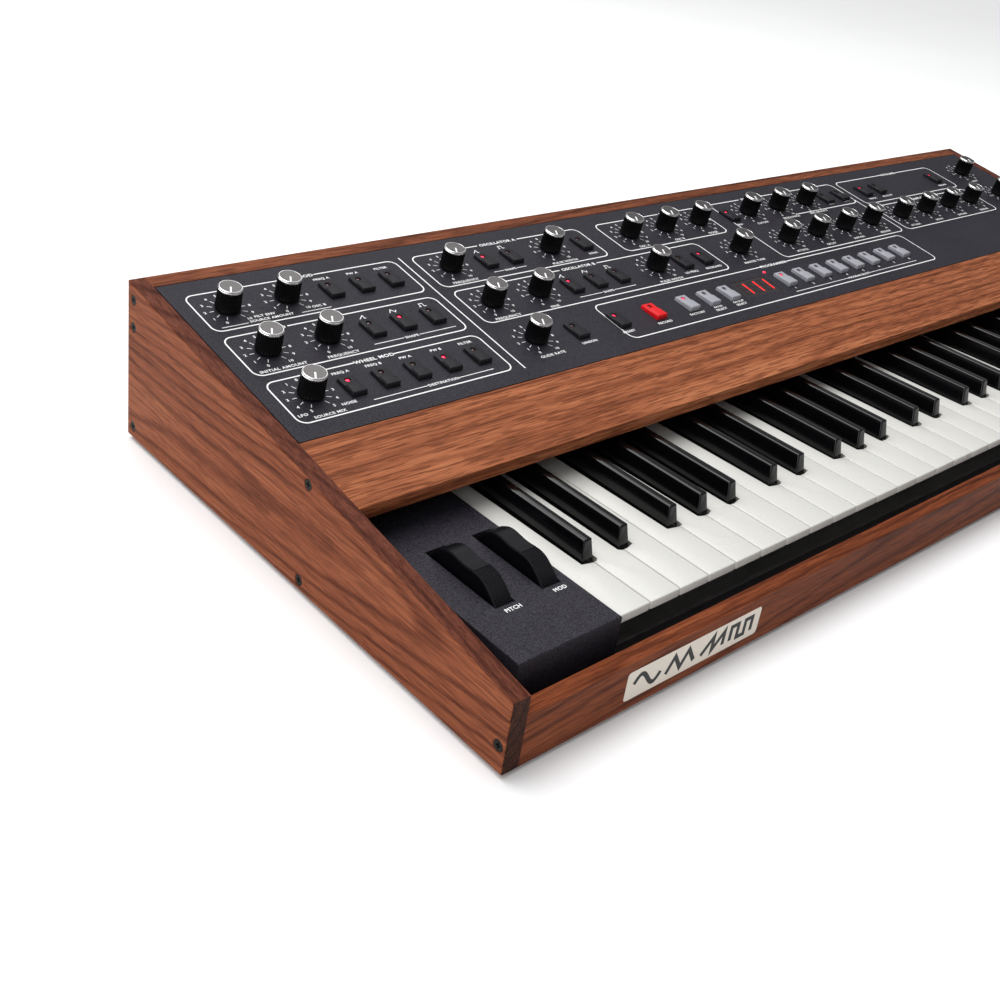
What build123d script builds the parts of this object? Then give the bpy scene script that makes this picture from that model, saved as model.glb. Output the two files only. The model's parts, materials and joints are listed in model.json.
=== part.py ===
"""Polyphonic keyboard synthesizer: walnut case, sloping black control panel, 61 keys.

Frame: +X along the keyboard towards the treble end, +Y from the player to the rear, +Z up.
The origin is on the ground under the middle of the case. All sizes are millimetres.
"""

from build123d import *
import os
from math import atan2, cos, degrees, radians, sin

# Driving dimensions -------------------------------------------------------------------------------
CASE_WIDTH = 964.0
CASE_DEPTH = 364.0
GROUND_GAP = 3.0            # underside of the wood above the ground
SIDE_THICK = 11.0
SIDE_FRONT_HEIGHT = 42.5
SIDE_BACK_HEIGHT = 105.5
FRONT_RAIL_HEIGHT = 30.0
FRONT_RAIL_DEPTH = 10.0
MIDDLE_RAIL_FRONT = 135.5   # distances back from the front of the case
MIDDLE_RAIL_BACK = 192.0
MIDDLE_RAIL_THICK = 7.4
REAR_RAIL_DEPTH = 11.3
REAR_RAIL_HEIGHT = 35.0
PANEL_THICK = 2.0
PANEL_GAP = 0.7             # dark line left all round the control panel
SHEET = 1.5                 # folded steel sheet

WHITE_COUNT = 36
WHITE_PITCH = 23.5
WHITE_GAP = 0.6
WHITE_FRONT = 21.3
WHITE_TOP = 40.7            # heights above the underside of the wood
WHITE_LIP = 5.0
BLACK_SLOT = 14.0
BLACK_WIDTH = 9.7
BLACK_FRONT = 64.6
BLACK_HEIGHT = 12.0
KEY_START = 92.5            # left edge of the lowest key from the left end of the case
KEY_PIVOT = 178.0
KEY_PIVOT_HEIGHT = 30.0
PIVOT_ROD_RADIUS = 2.0
RUNNING_FIT = 0.06

BOX_LEFT = 20.5             # wheel box, from the left end of the case
BOX_RIGHT = 91.0
BOX_FRONT = 18.8
BOX_BACK = 168.0            # well under the strip, so that the open back is out of sight
BOX_TOP = 42.9
WHEEL_X = (46.0, 78.2)
WHEEL_Y = 85.1
WHEEL_RADIUS = 34.5
WHEEL_WIDTH = 12.0
WHEEL_DROP = 21.5           # wheel axle below the top of the box
WHEEL_SLOT = (13.4, 56.4)
AXLE_RADIUS = 2.5

KNOB_RADIUS = 7.9
KNOB_TOP = 16.3             # above the panel
SHAFT_RADIUS = 3.0
CAP_SIZE = (10.2, 17.0)
CAP_RISE = 3.5
CAP_TRAVEL_GAP = 1.0
BOARD_DROP = 11.0           # top of the panel board below the panel's face

# Places on the control panel: x from the left end of the case, then distance up the slope ---
ROW_A, ROW_B, ROW_C = 323.0, 276.5, 230.5
CAP_A, CAP_B, CAP_C = 321.5, 275.0, 228.0
KNOBS = {
    "knob_poly_mod_envelope": (41.5, ROW_A),
    "knob_poly_mod_oscillator": (83.5, ROW_A),
    "knob_lfo_initial_amount": (41.5, ROW_B),
    "knob_lfo_frequency": (83.5, ROW_B),
    "knob_wheel_mod_mix": (41.5, ROW_C),
    "knob_oscillator_a_frequency": (217.0, ROW_A),
    "knob_oscillator_a_pulse_width": (313.0, ROW_A),
    "knob_oscillator_b_frequency": (217.0, ROW_B),
    "knob_oscillator_b_fine": (260.5, ROW_B),
    "knob_oscillator_b_pulse_width": (383.0, ROW_B),
    "knob_glide": (217.0, ROW_C),
    "knob_mixer_oscillator_a": (400.0, ROW_A),
    "knob_mixer_oscillator_b": (442.0, ROW_A),
    "knob_mixer_noise": (484.0, ROW_A),
    "knob_master_tune": (484.0, ROW_B),
    "knob_filter_cutoff": (551.0, ROW_A),
    "knob_filter_resonance": (592.0, ROW_A),
    "knob_filter_envelope_amount": (633.0, ROW_A),
    "knob_filter_attack": (549.0, ROW_B),
    "knob_filter_decay": (591.0, ROW_B),
    "knob_filter_sustain": (633.0, ROW_B),
    "knob_filter_release": (675.0, ROW_B),
    "knob_amplifier_attack": (726.0, ROW_B),
    "knob_amplifier_decay": (768.0, ROW_B),
    "knob_amplifier_sustain": (810.0, ROW_B),
    "knob_amplifier_release": (852.0, ROW_B),
    "knob_vintage": (911.0, ROW_A),
    "knob_volume": (911.0, ROW_B),
}
MOD_CAPS = (
    [(x, CAP_A) for x in (116.5, 140.5, 164.5)]
    + [(x, CAP_B) for x in (116.5, 140.5, 164.5)]
    + [(x, CAP_C) for x in (68.5, 92.5, 116.5, 140.5, 164.5)]
)
VOICE_CAPS = (
    [(x, CAP_A) for x in (249.0, 273.0, 345.0, 524.0, 663.0, 687.0, 726.0, 750.0, 852.0)]
    + [(x, CAP_B) for x in (292.0, 316.0, 340.0, 412.0, 436.0)]
    + [(x, CAP_C) for x in (252.5, 293.5, 852.0, 876.0, 911.0)]
)
PROGRAM_CAPS = [(367.0 + 23.7 * i, CAP_C) for i in range(3)] + [
    (486.0 + 23.6 * i, CAP_C) for i in range(8)
]
RECORD_CAPS = [(330.5, CAP_C)]
DISPLAY_PLACE = (449.0, 228.6)
DISPLAY_SIZE = (42.0, 21.0)

JACKS_X = (-300.0, -272.0, -244.0, -200.0, -172.0, -144.0)
JACK_RADIUS = 3.2
MIDI_X = (-90.0, -62.0, -34.0)
CONNECTOR_Z = 36.0
INLET_X = 372.0
ROCKER_X = 412.0

# Derived places -----------------------------------------------------------------------------------
LEFT = -CASE_WIDTH / 2
FRONT = -CASE_DEPTH / 2
BACK = CASE_DEPTH / 2
INNER = CASE_WIDTH / 2 - SIDE_THICK
SLOPE = atan2(SIDE_BACK_HEIGHT - SIDE_FRONT_HEIGHT, CASE_DEPTH)
PANEL = Plane(
    origin=(0, FRONT, GROUND_GAP + SIDE_FRONT_HEIGHT),
    x_dir=(1, 0, 0),
    z_dir=(0, -sin(SLOPE), cos(SLOPE)),
)
PAN_BOTTOM = GROUND_GAP + 1.0
PAN_TOP = PAN_BOTTOM + SHEET
REAR_FACE = BACK - 3.0
REAR_RAIL_FRONT = BACK - REAR_RAIL_DEPTH
PANEL_LOW = (MIDDLE_RAIL_BACK + PANEL_GAP) / cos(SLOPE)
PANEL_HIGH = (CASE_DEPTH - REAR_RAIL_DEPTH - PANEL_GAP) / cos(SLOPE)
AXLE_Z = GROUND_GAP + BOX_TOP - WHEEL_DROP
AXLE_Y = FRONT + WHEEL_Y
PIVOT_Y = FRONT + KEY_PIVOT
PIVOT_Z = GROUND_GAP + KEY_PIVOT_HEIGHT
KEYS_LEFT = LEFT + KEY_START
KEYS_RIGHT = KEYS_LEFT + WHITE_COUNT * WHITE_PITCH
WHITE_TOP_Z = GROUND_GAP + WHITE_TOP


def slope_z(y):
    """Height of the sloping top of the case at the place y."""
    return GROUND_GAP + SIDE_FRONT_HEIGHT + (y - FRONT) * (SIDE_BACK_HEIGHT - SIDE_FRONT_HEIGHT) / CASE_DEPTH


def on_panel(places):
    """Turns places given from the left end of the case into the panel's own x and y."""
    return [(LEFT + x, up) for x, up in places]


def save(builder, name):
    """Labels the finished piece and writes its file."""
    builder.part.label = name
    export_step(builder.part, f"parts/{name}.step")


def side_rectangle(y_low, y_high, z_low, z_high):
    """A rectangle on a YZ plane, inside the current sketch."""
    with Locations(((y_low + y_high) / 2, (z_low + z_high) / 2)):
        Rectangle(y_high - y_low, z_high - z_low)


os.makedirs("parts", exist_ok=True)

# Side panels, with countersunk holes for the case screws ------------------------------------------
SCREW_PLACES = [
    (357.0, 95.0),
    (357.0, 77.0),
    (357.0, 8.0),
    (166.0, 67.4),
    (168.0, 6.0),
    (5.0, 14.5),
]
SCREWS = [(FRONT + y, GROUND_GAP + z) for y, z in SCREW_PLACES]
SCREW_RADIUS = 1.6
HEAD_RADIUS = 3.1
HEAD_DEPTH = 1.8
SCREW_LENGTH = 19.0


def side_panel(sign):
    """One walnut end of the case; sign is -1 for the left end and +1 for the right."""
    outer = sign * CASE_WIDTH / 2
    with BuildPart() as panel:
        with BuildSketch(Plane.YZ.offset(outer)):
            with BuildLine():
                Polyline(
                    (FRONT, GROUND_GAP),
                    (BACK, GROUND_GAP),
                    (BACK, slope_z(BACK)),
                    (FRONT, slope_z(FRONT)),
                    close=True,
                )
            make_face()
        extrude(amount=-sign * SIDE_THICK)
        fillet(panel.faces().sort_by(Axis.X)[0 if sign < 0 else -1].edges(), 1.0)
        for y, z in SCREWS:
            with Locations(Plane(origin=(outer, y, z), z_dir=(sign, 0, 0))):
                CounterSinkHole(SCREW_RADIUS + 0.2, HEAD_RADIUS + 0.6, SIDE_THICK)
    return panel


for side_name, side_sign in (("left_side_panel", -1), ("right_side_panel", 1)):
    save(side_panel(side_sign), side_name)

# Case screws: countersunk screws in the ends and pan-head screws in the rear panel ----------------
REAR_SCREWS_X = (-455.0, -345.0, -115.0, 115.0, 320.0, 455.0)
with BuildPart() as case_screws:
    for side_sign in (-1, 1):
        for y, z in SCREWS:
            head_plane = Plane(origin=(side_sign * (CASE_WIDTH / 2 - 0.3), y, z), z_dir=(-side_sign, 0, 0))
            with BuildSketch(head_plane):
                Circle(HEAD_RADIUS)
            with BuildSketch(head_plane.offset(HEAD_DEPTH)):
                Circle(SCREW_RADIUS)
            loft()
            with BuildSketch(head_plane.offset(HEAD_DEPTH)):
                Circle(SCREW_RADIUS)
            extrude(amount=SCREW_LENGTH - HEAD_DEPTH)
            with BuildSketch(head_plane):
                Rectangle(3.4, 0.8)
                Rectangle(0.8, 3.4)
            extrude(amount=1.0, mode=Mode.SUBTRACT)
    for x in REAR_SCREWS_X:
        with BuildSketch(Plane(origin=(x, REAR_FACE, 68.0), z_dir=(0, 1, 0))):
            Circle(2.8)
        extrude(amount=1.4)
save(case_screws, "case_screws")


# Rails, and the plain plate let into the front one ------------------------------------------------
def rail(points, screw_index, plate=None):
    """A walnut rail between the side panels, drilled at its ends and let in for a plate if given."""
    with BuildPart() as piece:
        with BuildSketch(Plane.YZ.offset(-INNER)):
            with BuildLine():
                Polyline(*points, close=True)
            make_face()
        extrude(amount=2 * INNER)
        for index in screw_index:
            y, z = SCREWS[index]
            for sign in (-1, 1):
                with BuildSketch(Plane(origin=(sign * INNER, y, z), z_dir=(-sign, 0, 0))):
                    Circle(SCREW_RADIUS)
                extrude(amount=SCREW_LENGTH - SIDE_THICK + 1.0, mode=Mode.SUBTRACT)
        if plate:
            with BuildSketch(plate):
                RectangleRounded(*PLATE_SIZE, PLATE_CORNER)
            extrude(amount=PLATE_THICK, mode=Mode.SUBTRACT)
    return piece


rail_front_points = [
    (FRONT, GROUND_GAP),
    (FRONT + FRONT_RAIL_DEPTH, GROUND_GAP),
    (FRONT + FRONT_RAIL_DEPTH, GROUND_GAP + FRONT_RAIL_HEIGHT),
    (FRONT, GROUND_GAP + FRONT_RAIL_HEIGHT),
]
PLATE_PLACE = (135.0, 14.6)
PLATE_SIZE = (108.0, 18.4)
PLATE_CORNER = 2.0
PLATE_THICK = 0.6
plate_plane = Plane(
    origin=(LEFT + PLATE_PLACE[0], FRONT + PLATE_THICK, GROUND_GAP + PLATE_PLACE[1]),
    x_dir=(1, 0, 0),
    z_dir=(0, -1, 0),
)
save(rail(rail_front_points, [5], plate_plane), "front_rail")
with BuildPart() as name_plate:
    with BuildSketch(plate_plane):
        RectangleRounded(*PLATE_SIZE, PLATE_CORNER)
    extrude(amount=PLATE_THICK)
save(name_plate, "name_plate")

strip_front = FRONT + MIDDLE_RAIL_FRONT
strip_back = FRONT + MIDDLE_RAIL_BACK
middle_points = [
    (strip_front, slope_z(strip_front)),
    (strip_back, slope_z(strip_back)),
    (strip_back, slope_z(strip_back) - MIDDLE_RAIL_THICK),
    (strip_front, slope_z(strip_front) - MIDDLE_RAIL_THICK),
]
save(rail(middle_points, [3]), "middle_rail")

rear_points = [
    (REAR_RAIL_FRONT, slope_z(REAR_RAIL_FRONT)),
    (BACK, slope_z(BACK)),
    (BACK, slope_z(BACK) - REAR_RAIL_HEIGHT),
    (REAR_RAIL_FRONT, slope_z(BACK) - REAR_RAIL_HEIGHT),
]
save(rail(rear_points, [0, 1]), "rear_rail")

# Base pan: folded steel floor with a front flange and two end plates that carry the panel ---------
pan_front = FRONT + FRONT_RAIL_DEPTH
pan_back = REAR_FACE - SHEET
plate_under = PANEL_THICK / cos(SLOPE)
plate_back = REAR_RAIL_FRONT - 0.5
rear_panel_top = slope_z(BACK) - REAR_RAIL_HEIGHT
END_PLATE_START = strip_back + 4.0
with BuildPart() as base_pan:
    with BuildSketch(Plane.XY.offset(PAN_BOTTOM)):
        with Locations((0, (pan_front + REAR_FACE) / 2)):
            Rectangle(2 * INNER, REAR_FACE - pan_front)
    extrude(amount=SHEET)
    with BuildSketch(Plane.XY.offset(PAN_TOP)):
        with Locations((0, pan_front + SHEET / 2)):
            Rectangle(2 * INNER, SHEET)
    extrude(amount=14.0)
    for side_sign in (-1, 1):
        with BuildSketch(Plane.YZ.offset(side_sign * INNER)):
            with BuildLine():
                Polyline(
                    (pan_front, PAN_BOTTOM),
                    (pan_back, PAN_BOTTOM),
                    (pan_back, rear_panel_top - 1.0),
                    (plate_back, rear_panel_top - 1.0),
                    (plate_back, slope_z(plate_back) - plate_under),
                    (END_PLATE_START, slope_z(END_PLATE_START) - plate_under),
                    (END_PLATE_START, PAN_TOP + 14.0),
                    (pan_front, PAN_TOP + 14.0),
                    close=True,
                )
            make_face()
        extrude(amount=-side_sign * SHEET)
        for index in (2, 4):
            y, z = SCREWS[index]
            with BuildSketch(Plane.YZ.offset(side_sign * INNER)):
                with Locations((y, z)):
                    Circle(SCREW_RADIUS)
            extrude(amount=-side_sign * SHEET, mode=Mode.SUBTRACT)
save(base_pan, "base_pan")

# Feet ---------------------------------------------------------------------------------------------
with BuildPart() as feet:
    with BuildSketch(Plane.XY):
        with GridLocations(2 * (INNER - 30.0), CASE_DEPTH - 90.0, 2, 2):
            Circle(10.0)
    extrude(amount=PAN_BOTTOM)
    chamfer(feet.edges().group_by(Axis.Z)[-1], 0.8)
save(feet, "feet")

# Rear panel, with its connectors ------------------------------------------------------------------
rear_plane = Plane(origin=(0, REAR_FACE, 0), x_dir=(-1, 0, 0), z_dir=(0, 1, 0))
JACK_BODY = (14.0, 18.0, 14.0)
BUSHING_RADIUS = 4.8
INLET_OPEN = (25.0, 17.0)
INLET_BODY = (30.0, 22.0)
INLET_DEPTH = 16.0
ROCKER_OPEN = (13.2, 21.0)
MIDI_RADIUS = 7.6
with BuildPart() as rear_panel:
    with BuildSketch(rear_plane):
        with Locations((0, (PAN_TOP + rear_panel_top) / 2)):
            Rectangle(2 * INNER, rear_panel_top - PAN_TOP)
        with Locations(*[(-x, CONNECTOR_Z) for x in JACKS_X]):
            Circle(BUSHING_RADIUS, mode=Mode.SUBTRACT)
        with Locations(*[(-x, CONNECTOR_Z) for x in MIDI_X]):
            Circle(MIDI_RADIUS + 1.2, mode=Mode.SUBTRACT)
        with Locations((-INLET_X, CONNECTOR_Z)):
            Rectangle(*INLET_BODY, mode=Mode.SUBTRACT)
        with Locations((-ROCKER_X, CONNECTOR_Z)):
            Rectangle(ROCKER_OPEN[0] + 2.4, ROCKER_OPEN[1] + 2.4, mode=Mode.SUBTRACT)
    extrude(amount=-SHEET)
save(rear_panel, "rear_panel")

with BuildPart() as rear_jacks:
    for x in JACKS_X:
        jack = Plane(origin=(x, REAR_FACE, CONNECTOR_Z), z_dir=(0, 1, 0))
        with BuildSketch(jack.offset(-SHEET)):
            Rectangle(JACK_BODY[0], JACK_BODY[2])
        extrude(amount=-JACK_BODY[1])
        with BuildSketch(jack.offset(-SHEET)):
            Circle(BUSHING_RADIUS)
        extrude(amount=SHEET + 1.6)
        with BuildSketch(jack):
            RegularPolygon(6.6, 6)
            Circle(BUSHING_RADIUS, mode=Mode.SUBTRACT)
        extrude(amount=1.4)
        with BuildSketch(jack.offset(1.6)):
            Circle(JACK_RADIUS)
        extrude(amount=-(1.6 + SHEET + JACK_BODY[1] - 2.0), mode=Mode.SUBTRACT)
save(rear_jacks, "rear_jacks")

MIDI_DEPTH = 10.0
with BuildPart() as midi_sockets:
    for x in MIDI_X:
        socket = Plane(origin=(x, REAR_FACE, CONNECTOR_Z), z_dir=(0, 1, 0))
        with BuildSketch(socket):
            Circle(MIDI_RADIUS + 1.2)
        extrude(amount=-(MIDI_DEPTH + 3.0))
        with BuildSketch(socket):
            Circle(MIDI_RADIUS + 2.6)
        extrude(amount=1.0)
        with BuildSketch(socket.offset(1.0)):
            Circle(MIDI_RADIUS)
        extrude(amount=-(MIDI_DEPTH + 1.0), mode=Mode.SUBTRACT)
        with BuildSketch(socket.offset(-MIDI_DEPTH)):
            with PolarLocations(4.6, 5, start_angle=0, angular_range=180, endpoint=True):
                Circle(0.6, mode=Mode.ADD)
        extrude(amount=-2.0, mode=Mode.SUBTRACT)
save(midi_sockets, "midi_sockets")

inlet = Plane(origin=(INLET_X, REAR_FACE, CONNECTOR_Z), x_dir=(-1, 0, 0), z_dir=(0, 1, 0))
with BuildPart() as power_inlet:
    with BuildSketch(inlet):
        Rectangle(*INLET_BODY)
    extrude(amount=-(INLET_DEPTH + 3.0))
    with BuildSketch(inlet):
        Rectangle(INLET_BODY[0] + 5.0, INLET_BODY[1] + 3.0)
    extrude(amount=1.6)
    with BuildSketch(inlet.offset(1.6)):
        with BuildLine():
            Polyline(
                (-INLET_OPEN[0] / 2, -INLET_OPEN[1] / 2),
                (INLET_OPEN[0] / 2, -INLET_OPEN[1] / 2),
                (INLET_OPEN[0] / 2, INLET_OPEN[1] / 2 - 4.0),
                (INLET_OPEN[0] / 2 - 4.0, INLET_OPEN[1] / 2),
                (-INLET_OPEN[0] / 2 + 4.0, INLET_OPEN[1] / 2),
                (-INLET_OPEN[0] / 2, INLET_OPEN[1] / 2 - 4.0),
                close=True,
            )
        make_face()
    extrude(amount=-(INLET_DEPTH + 1.6), mode=Mode.SUBTRACT)
    with BuildSketch(inlet.offset(-INLET_DEPTH)):
        with Locations((-7.0, -2.0), (0, 2.0), (7.0, -2.0)):
            Rectangle(2.0, 4.0)
    extrude(amount=12.0)
    # Frame of the rocker switch, made in one piece with the inlet
    rocker_frame = inlet.offset(0).shift_origin((ROCKER_X, REAR_FACE, CONNECTOR_Z))
    with BuildSketch(rocker_frame):
        Rectangle(ROCKER_OPEN[0] + 2.4, ROCKER_OPEN[1] + 2.4)
        Rectangle(*ROCKER_OPEN, mode=Mode.SUBTRACT)
    extrude(amount=-14.0)
    with BuildSketch(rocker_frame):
        Rectangle(ROCKER_OPEN[0] + 5.4, ROCKER_OPEN[1] + 5.4)
        Rectangle(*ROCKER_OPEN, mode=Mode.SUBTRACT)
    extrude(amount=1.6)
    # Pivot pin of the rocker, across the frame
    with BuildSketch(Plane.YZ.offset(ROCKER_X - ROCKER_OPEN[0] / 2)):
        with Locations((REAR_FACE - 4.0, CONNECTOR_Z)):
            Circle(1.5)
    extrude(amount=ROCKER_OPEN[0])
save(power_inlet, "power_inlet")

ROCKER_TIP = (4.5, 9.3)
with BuildPart() as power_rocker:
    rocker_plane = Plane(
        origin=(ROCKER_X - ROCKER_OPEN[0] / 2 + 0.4, REAR_FACE - 4.0, CONNECTOR_Z),
        x_dir=(0, 1, 0),
        z_dir=(1, 0, 0),
    )
    with BuildSketch(rocker_plane):
        with BuildLine():
            Polyline(
                (ROCKER_TIP[0], -ROCKER_TIP[1]),
                (ROCKER_TIP[0] - 1.4, 0),
                ROCKER_TIP,
                (-3.0, 6.0),
                (-3.0, -6.0),
                close=True,
            )
        make_face()
        Circle(1.5 + RUNNING_FIT, mode=Mode.SUBTRACT)
    extrude(amount=ROCKER_OPEN[0] - 0.8)
save(power_rocker, "power_rocker")

# Wheel box ----------------------------------------------------------------------------------------
box_left = LEFT + BOX_LEFT
box_right = LEFT + BOX_RIGHT
box_top = GROUND_GAP + BOX_TOP
box_front = FRONT + BOX_FRONT
box_slots = [(LEFT + x, AXLE_Y) for x in WHEEL_X]


def cover(x_low, x_high, back, slots, name):
    """A folded cover open underneath and behind, standing on the base pan."""
    middle = ((x_low + x_high) / 2, (box_front + back) / 2)
    with BuildPart() as shell:
        with BuildSketch(Plane.XY.offset(PAN_TOP)):
            with Locations(middle):
                Rectangle(x_high - x_low, back - box_front)
        extrude(amount=box_top - PAN_TOP)
        fillet(shell.faces().sort_by(Axis.Z)[-1].edges(), 0.8)
        with BuildSketch(Plane.XY.offset(PAN_TOP)):
            with Locations((middle[0], middle[1] + SHEET)):
                Rectangle(x_high - x_low - 2 * SHEET, back - box_front)
        extrude(amount=box_top - PAN_TOP - SHEET, mode=Mode.SUBTRACT)
        if slots:
            with BuildSketch(Plane.XY.offset(box_top - 5.0)):
                with Locations(*slots):
                    Rectangle(*WHEEL_SLOT)
            extrude(amount=10.0, mode=Mode.SUBTRACT)
    save(shell, name)


cover(box_left, box_right, FRONT + BOX_BACK, box_slots, "wheel_box")
cover(KEYS_RIGHT + 0.8, INNER - SHEET - 0.3, strip_front + 7.0, [], "key_end_block")

# Wheels, their bracket and axle -------------------------------------------------------------------
BRACKET_X = (LEFT + 34.0, LEFT + 61.1, LEFT + 87.0)
BRACKET_THICK = 2.0
with BuildPart() as wheel_bracket:
    for x in BRACKET_X:
        with BuildSketch(Plane.YZ.offset(x - BRACKET_THICK / 2)):
            side_rectangle(AXLE_Y - 10.0, AXLE_Y + 10.0, PAN_TOP, AXLE_Z + 7.0)
        extrude(amount=BRACKET_THICK)
    with BuildSketch(Plane.YZ.offset(BRACKET_X[0] - 2.5)):
        with Locations((AXLE_Y, AXLE_Z)):
            Circle(AXLE_RADIUS)
    extrude(amount=BRACKET_X[-1] - BRACKET_X[0] + 4.0)
save(wheel_bracket, "wheel_bracket")


def wheel(x, name):
    """Half-disc performance wheel with two raised ridges and a thumb dip between them."""
    with BuildPart() as disc:
        with BuildSketch(Plane.YZ.offset(LEFT + x - WHEEL_WIDTH / 2)):
            with Locations((AXLE_Y, AXLE_Z)):
                Circle(WHEEL_RADIUS)
            with Locations((AXLE_Y, AXLE_Z - WHEEL_RADIUS / 2)):
                Rectangle(2 * WHEEL_RADIUS, WHEEL_RADIUS, mode=Mode.SUBTRACT)
            with Locations((AXLE_Y, AXLE_Z)):
                Circle(9.0)
            with Locations((AXLE_Y - 2.0, AXLE_Z + WHEEL_RADIUS + 8.5)):
                Circle(12.0, mode=Mode.SUBTRACT)
            with Locations((AXLE_Y, AXLE_Z)):
                Circle(AXLE_RADIUS + RUNNING_FIT, mode=Mode.SUBTRACT)
        extrude(amount=WHEEL_WIDTH)
    save(disc, name)


wheel(WHEEL_X[0], "pitch_wheel")
wheel(WHEEL_X[1], "mod_wheel")

# Keys ---------------------------------------------------------------------------------------------
P = WHITE_PITCH
lower_tail = (3 * P - 2 * BLACK_SLOT) / 3
upper_tail = (4 * P - 3 * BLACK_SLOT) / 4
BLACK_CENTRES = [
    lower_tail + BLACK_SLOT / 2,
    2 * lower_tail + 1.5 * BLACK_SLOT,
    3 * P + upper_tail + BLACK_SLOT / 2,
    3 * P + 2 * upper_tail + 1.5 * BLACK_SLOT,
    3 * P + 3 * upper_tail + 2.5 * BLACK_SLOT,
]
OCTAVE = 7 * P
KEY_BACK = PIVOT_Y + 5.0
SLOT_FRONT = FRONT + BLACK_FRONT - 1.2
STEM_FRONT = FRONT + WHITE_FRONT + 20.0
STEM_WIDTH = 9.0
LIP_BOTTOM = WHITE_TOP_Z - WHITE_LIP
STEM_DROP = 11.0


def tail_edges(index):
    """Left and right edges of a white key's narrow rear part, from the keyboard's left end."""
    octave = index // 7
    start = octave * OCTAVE
    left = index * P + WHITE_GAP / 2
    right = (index + 1) * P - WHITE_GAP / 2
    if index == WHITE_COUNT - 1:
        return left, right
    for centre in BLACK_CENTRES:
        low = start + centre - BLACK_SLOT / 2
        high = start + centre + BLACK_SLOT / 2
        if low < left < high:
            left = high
        if low < right < high:
            right = low
    return left, right


def naturals(indexes, name):
    """A set of white keys that do not touch one another, on one pivot."""
    with BuildPart() as keys:
        for index in indexes:
            left, right = tail_edges(index)
            head_left = index * P + WHITE_GAP / 2
            head_right = (index + 1) * P - WHITE_GAP / 2
            with BuildSketch(Plane.XY.offset(LIP_BOTTOM)):
                head_middle = KEYS_LEFT + (head_left + head_right) / 2
                with Locations((head_middle, (FRONT + WHITE_FRONT + SLOT_FRONT) / 2)):
                    Rectangle(head_right - head_left, SLOT_FRONT - FRONT - WHITE_FRONT)
                with Locations((KEYS_LEFT + (left + right) / 2, (SLOT_FRONT + KEY_BACK) / 2)):
                    Rectangle(right - left, KEY_BACK - SLOT_FRONT)
            extrude(amount=WHITE_LIP)
            with BuildSketch(Plane.XY.offset(LIP_BOTTOM - STEM_DROP)):
                with Locations((KEYS_LEFT + (left + right) / 2, (STEM_FRONT + KEY_BACK) / 2)):
                    Rectangle(STEM_WIDTH, KEY_BACK - STEM_FRONT)
            extrude(amount=STEM_DROP)
        with BuildSketch(Plane.YZ.offset(KEYS_LEFT - 5.0)):
            with Locations((PIVOT_Y, PIVOT_Z)):
                Circle(PIVOT_ROD_RADIUS + RUNNING_FIT)
        extrude(amount=KEYS_RIGHT - KEYS_LEFT + 10.0, mode=Mode.SUBTRACT)
    save(keys, name)


naturals(range(0, WHITE_COUNT, 2), "keys_natural_odd")
naturals(range(1, WHITE_COUNT, 2), "keys_natural_even")

BLACK_TAPER = 1.2
BLACK_TOP_SETBACK = 3.0
BLACK_BACK = strip_front + 24.0
with BuildPart() as keys_sharp:
    for octave in range(5):
        for centre in BLACK_CENTRES:
            x = KEYS_LEFT + octave * OCTAVE + centre
            front = FRONT + BLACK_FRONT
            with BuildSketch(Plane.XY.offset(LIP_BOTTOM)):
                with Locations((x, (front + BLACK_BACK) / 2)):
                    Rectangle(BLACK_WIDTH, BLACK_BACK - front)
            top_front = front + BLACK_TOP_SETBACK
            with BuildSketch(Plane.XY.offset(WHITE_TOP_Z + BLACK_HEIGHT)):
                with Locations((x, (top_front + BLACK_BACK) / 2)):
                    Rectangle(BLACK_WIDTH - 2 * BLACK_TAPER, BLACK_BACK - top_front)
            loft()
            with BuildSketch(Plane.XY.offset(LIP_BOTTOM - STEM_DROP)):
                with Locations((x, (front + 4.0 + KEY_BACK) / 2)):
                    Rectangle(STEM_WIDTH - 1.0, KEY_BACK - front - 4.0)
            extrude(amount=STEM_DROP)
    with BuildSketch(Plane.YZ.offset(KEYS_LEFT - 5.0)):
        with Locations((PIVOT_Y, PIVOT_Z)):
            Circle(PIVOT_ROD_RADIUS + RUNNING_FIT)
    extrude(amount=KEYS_RIGHT - KEYS_LEFT + 10.0, mode=Mode.SUBTRACT)
save(keys_sharp, "keys_sharp")

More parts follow.
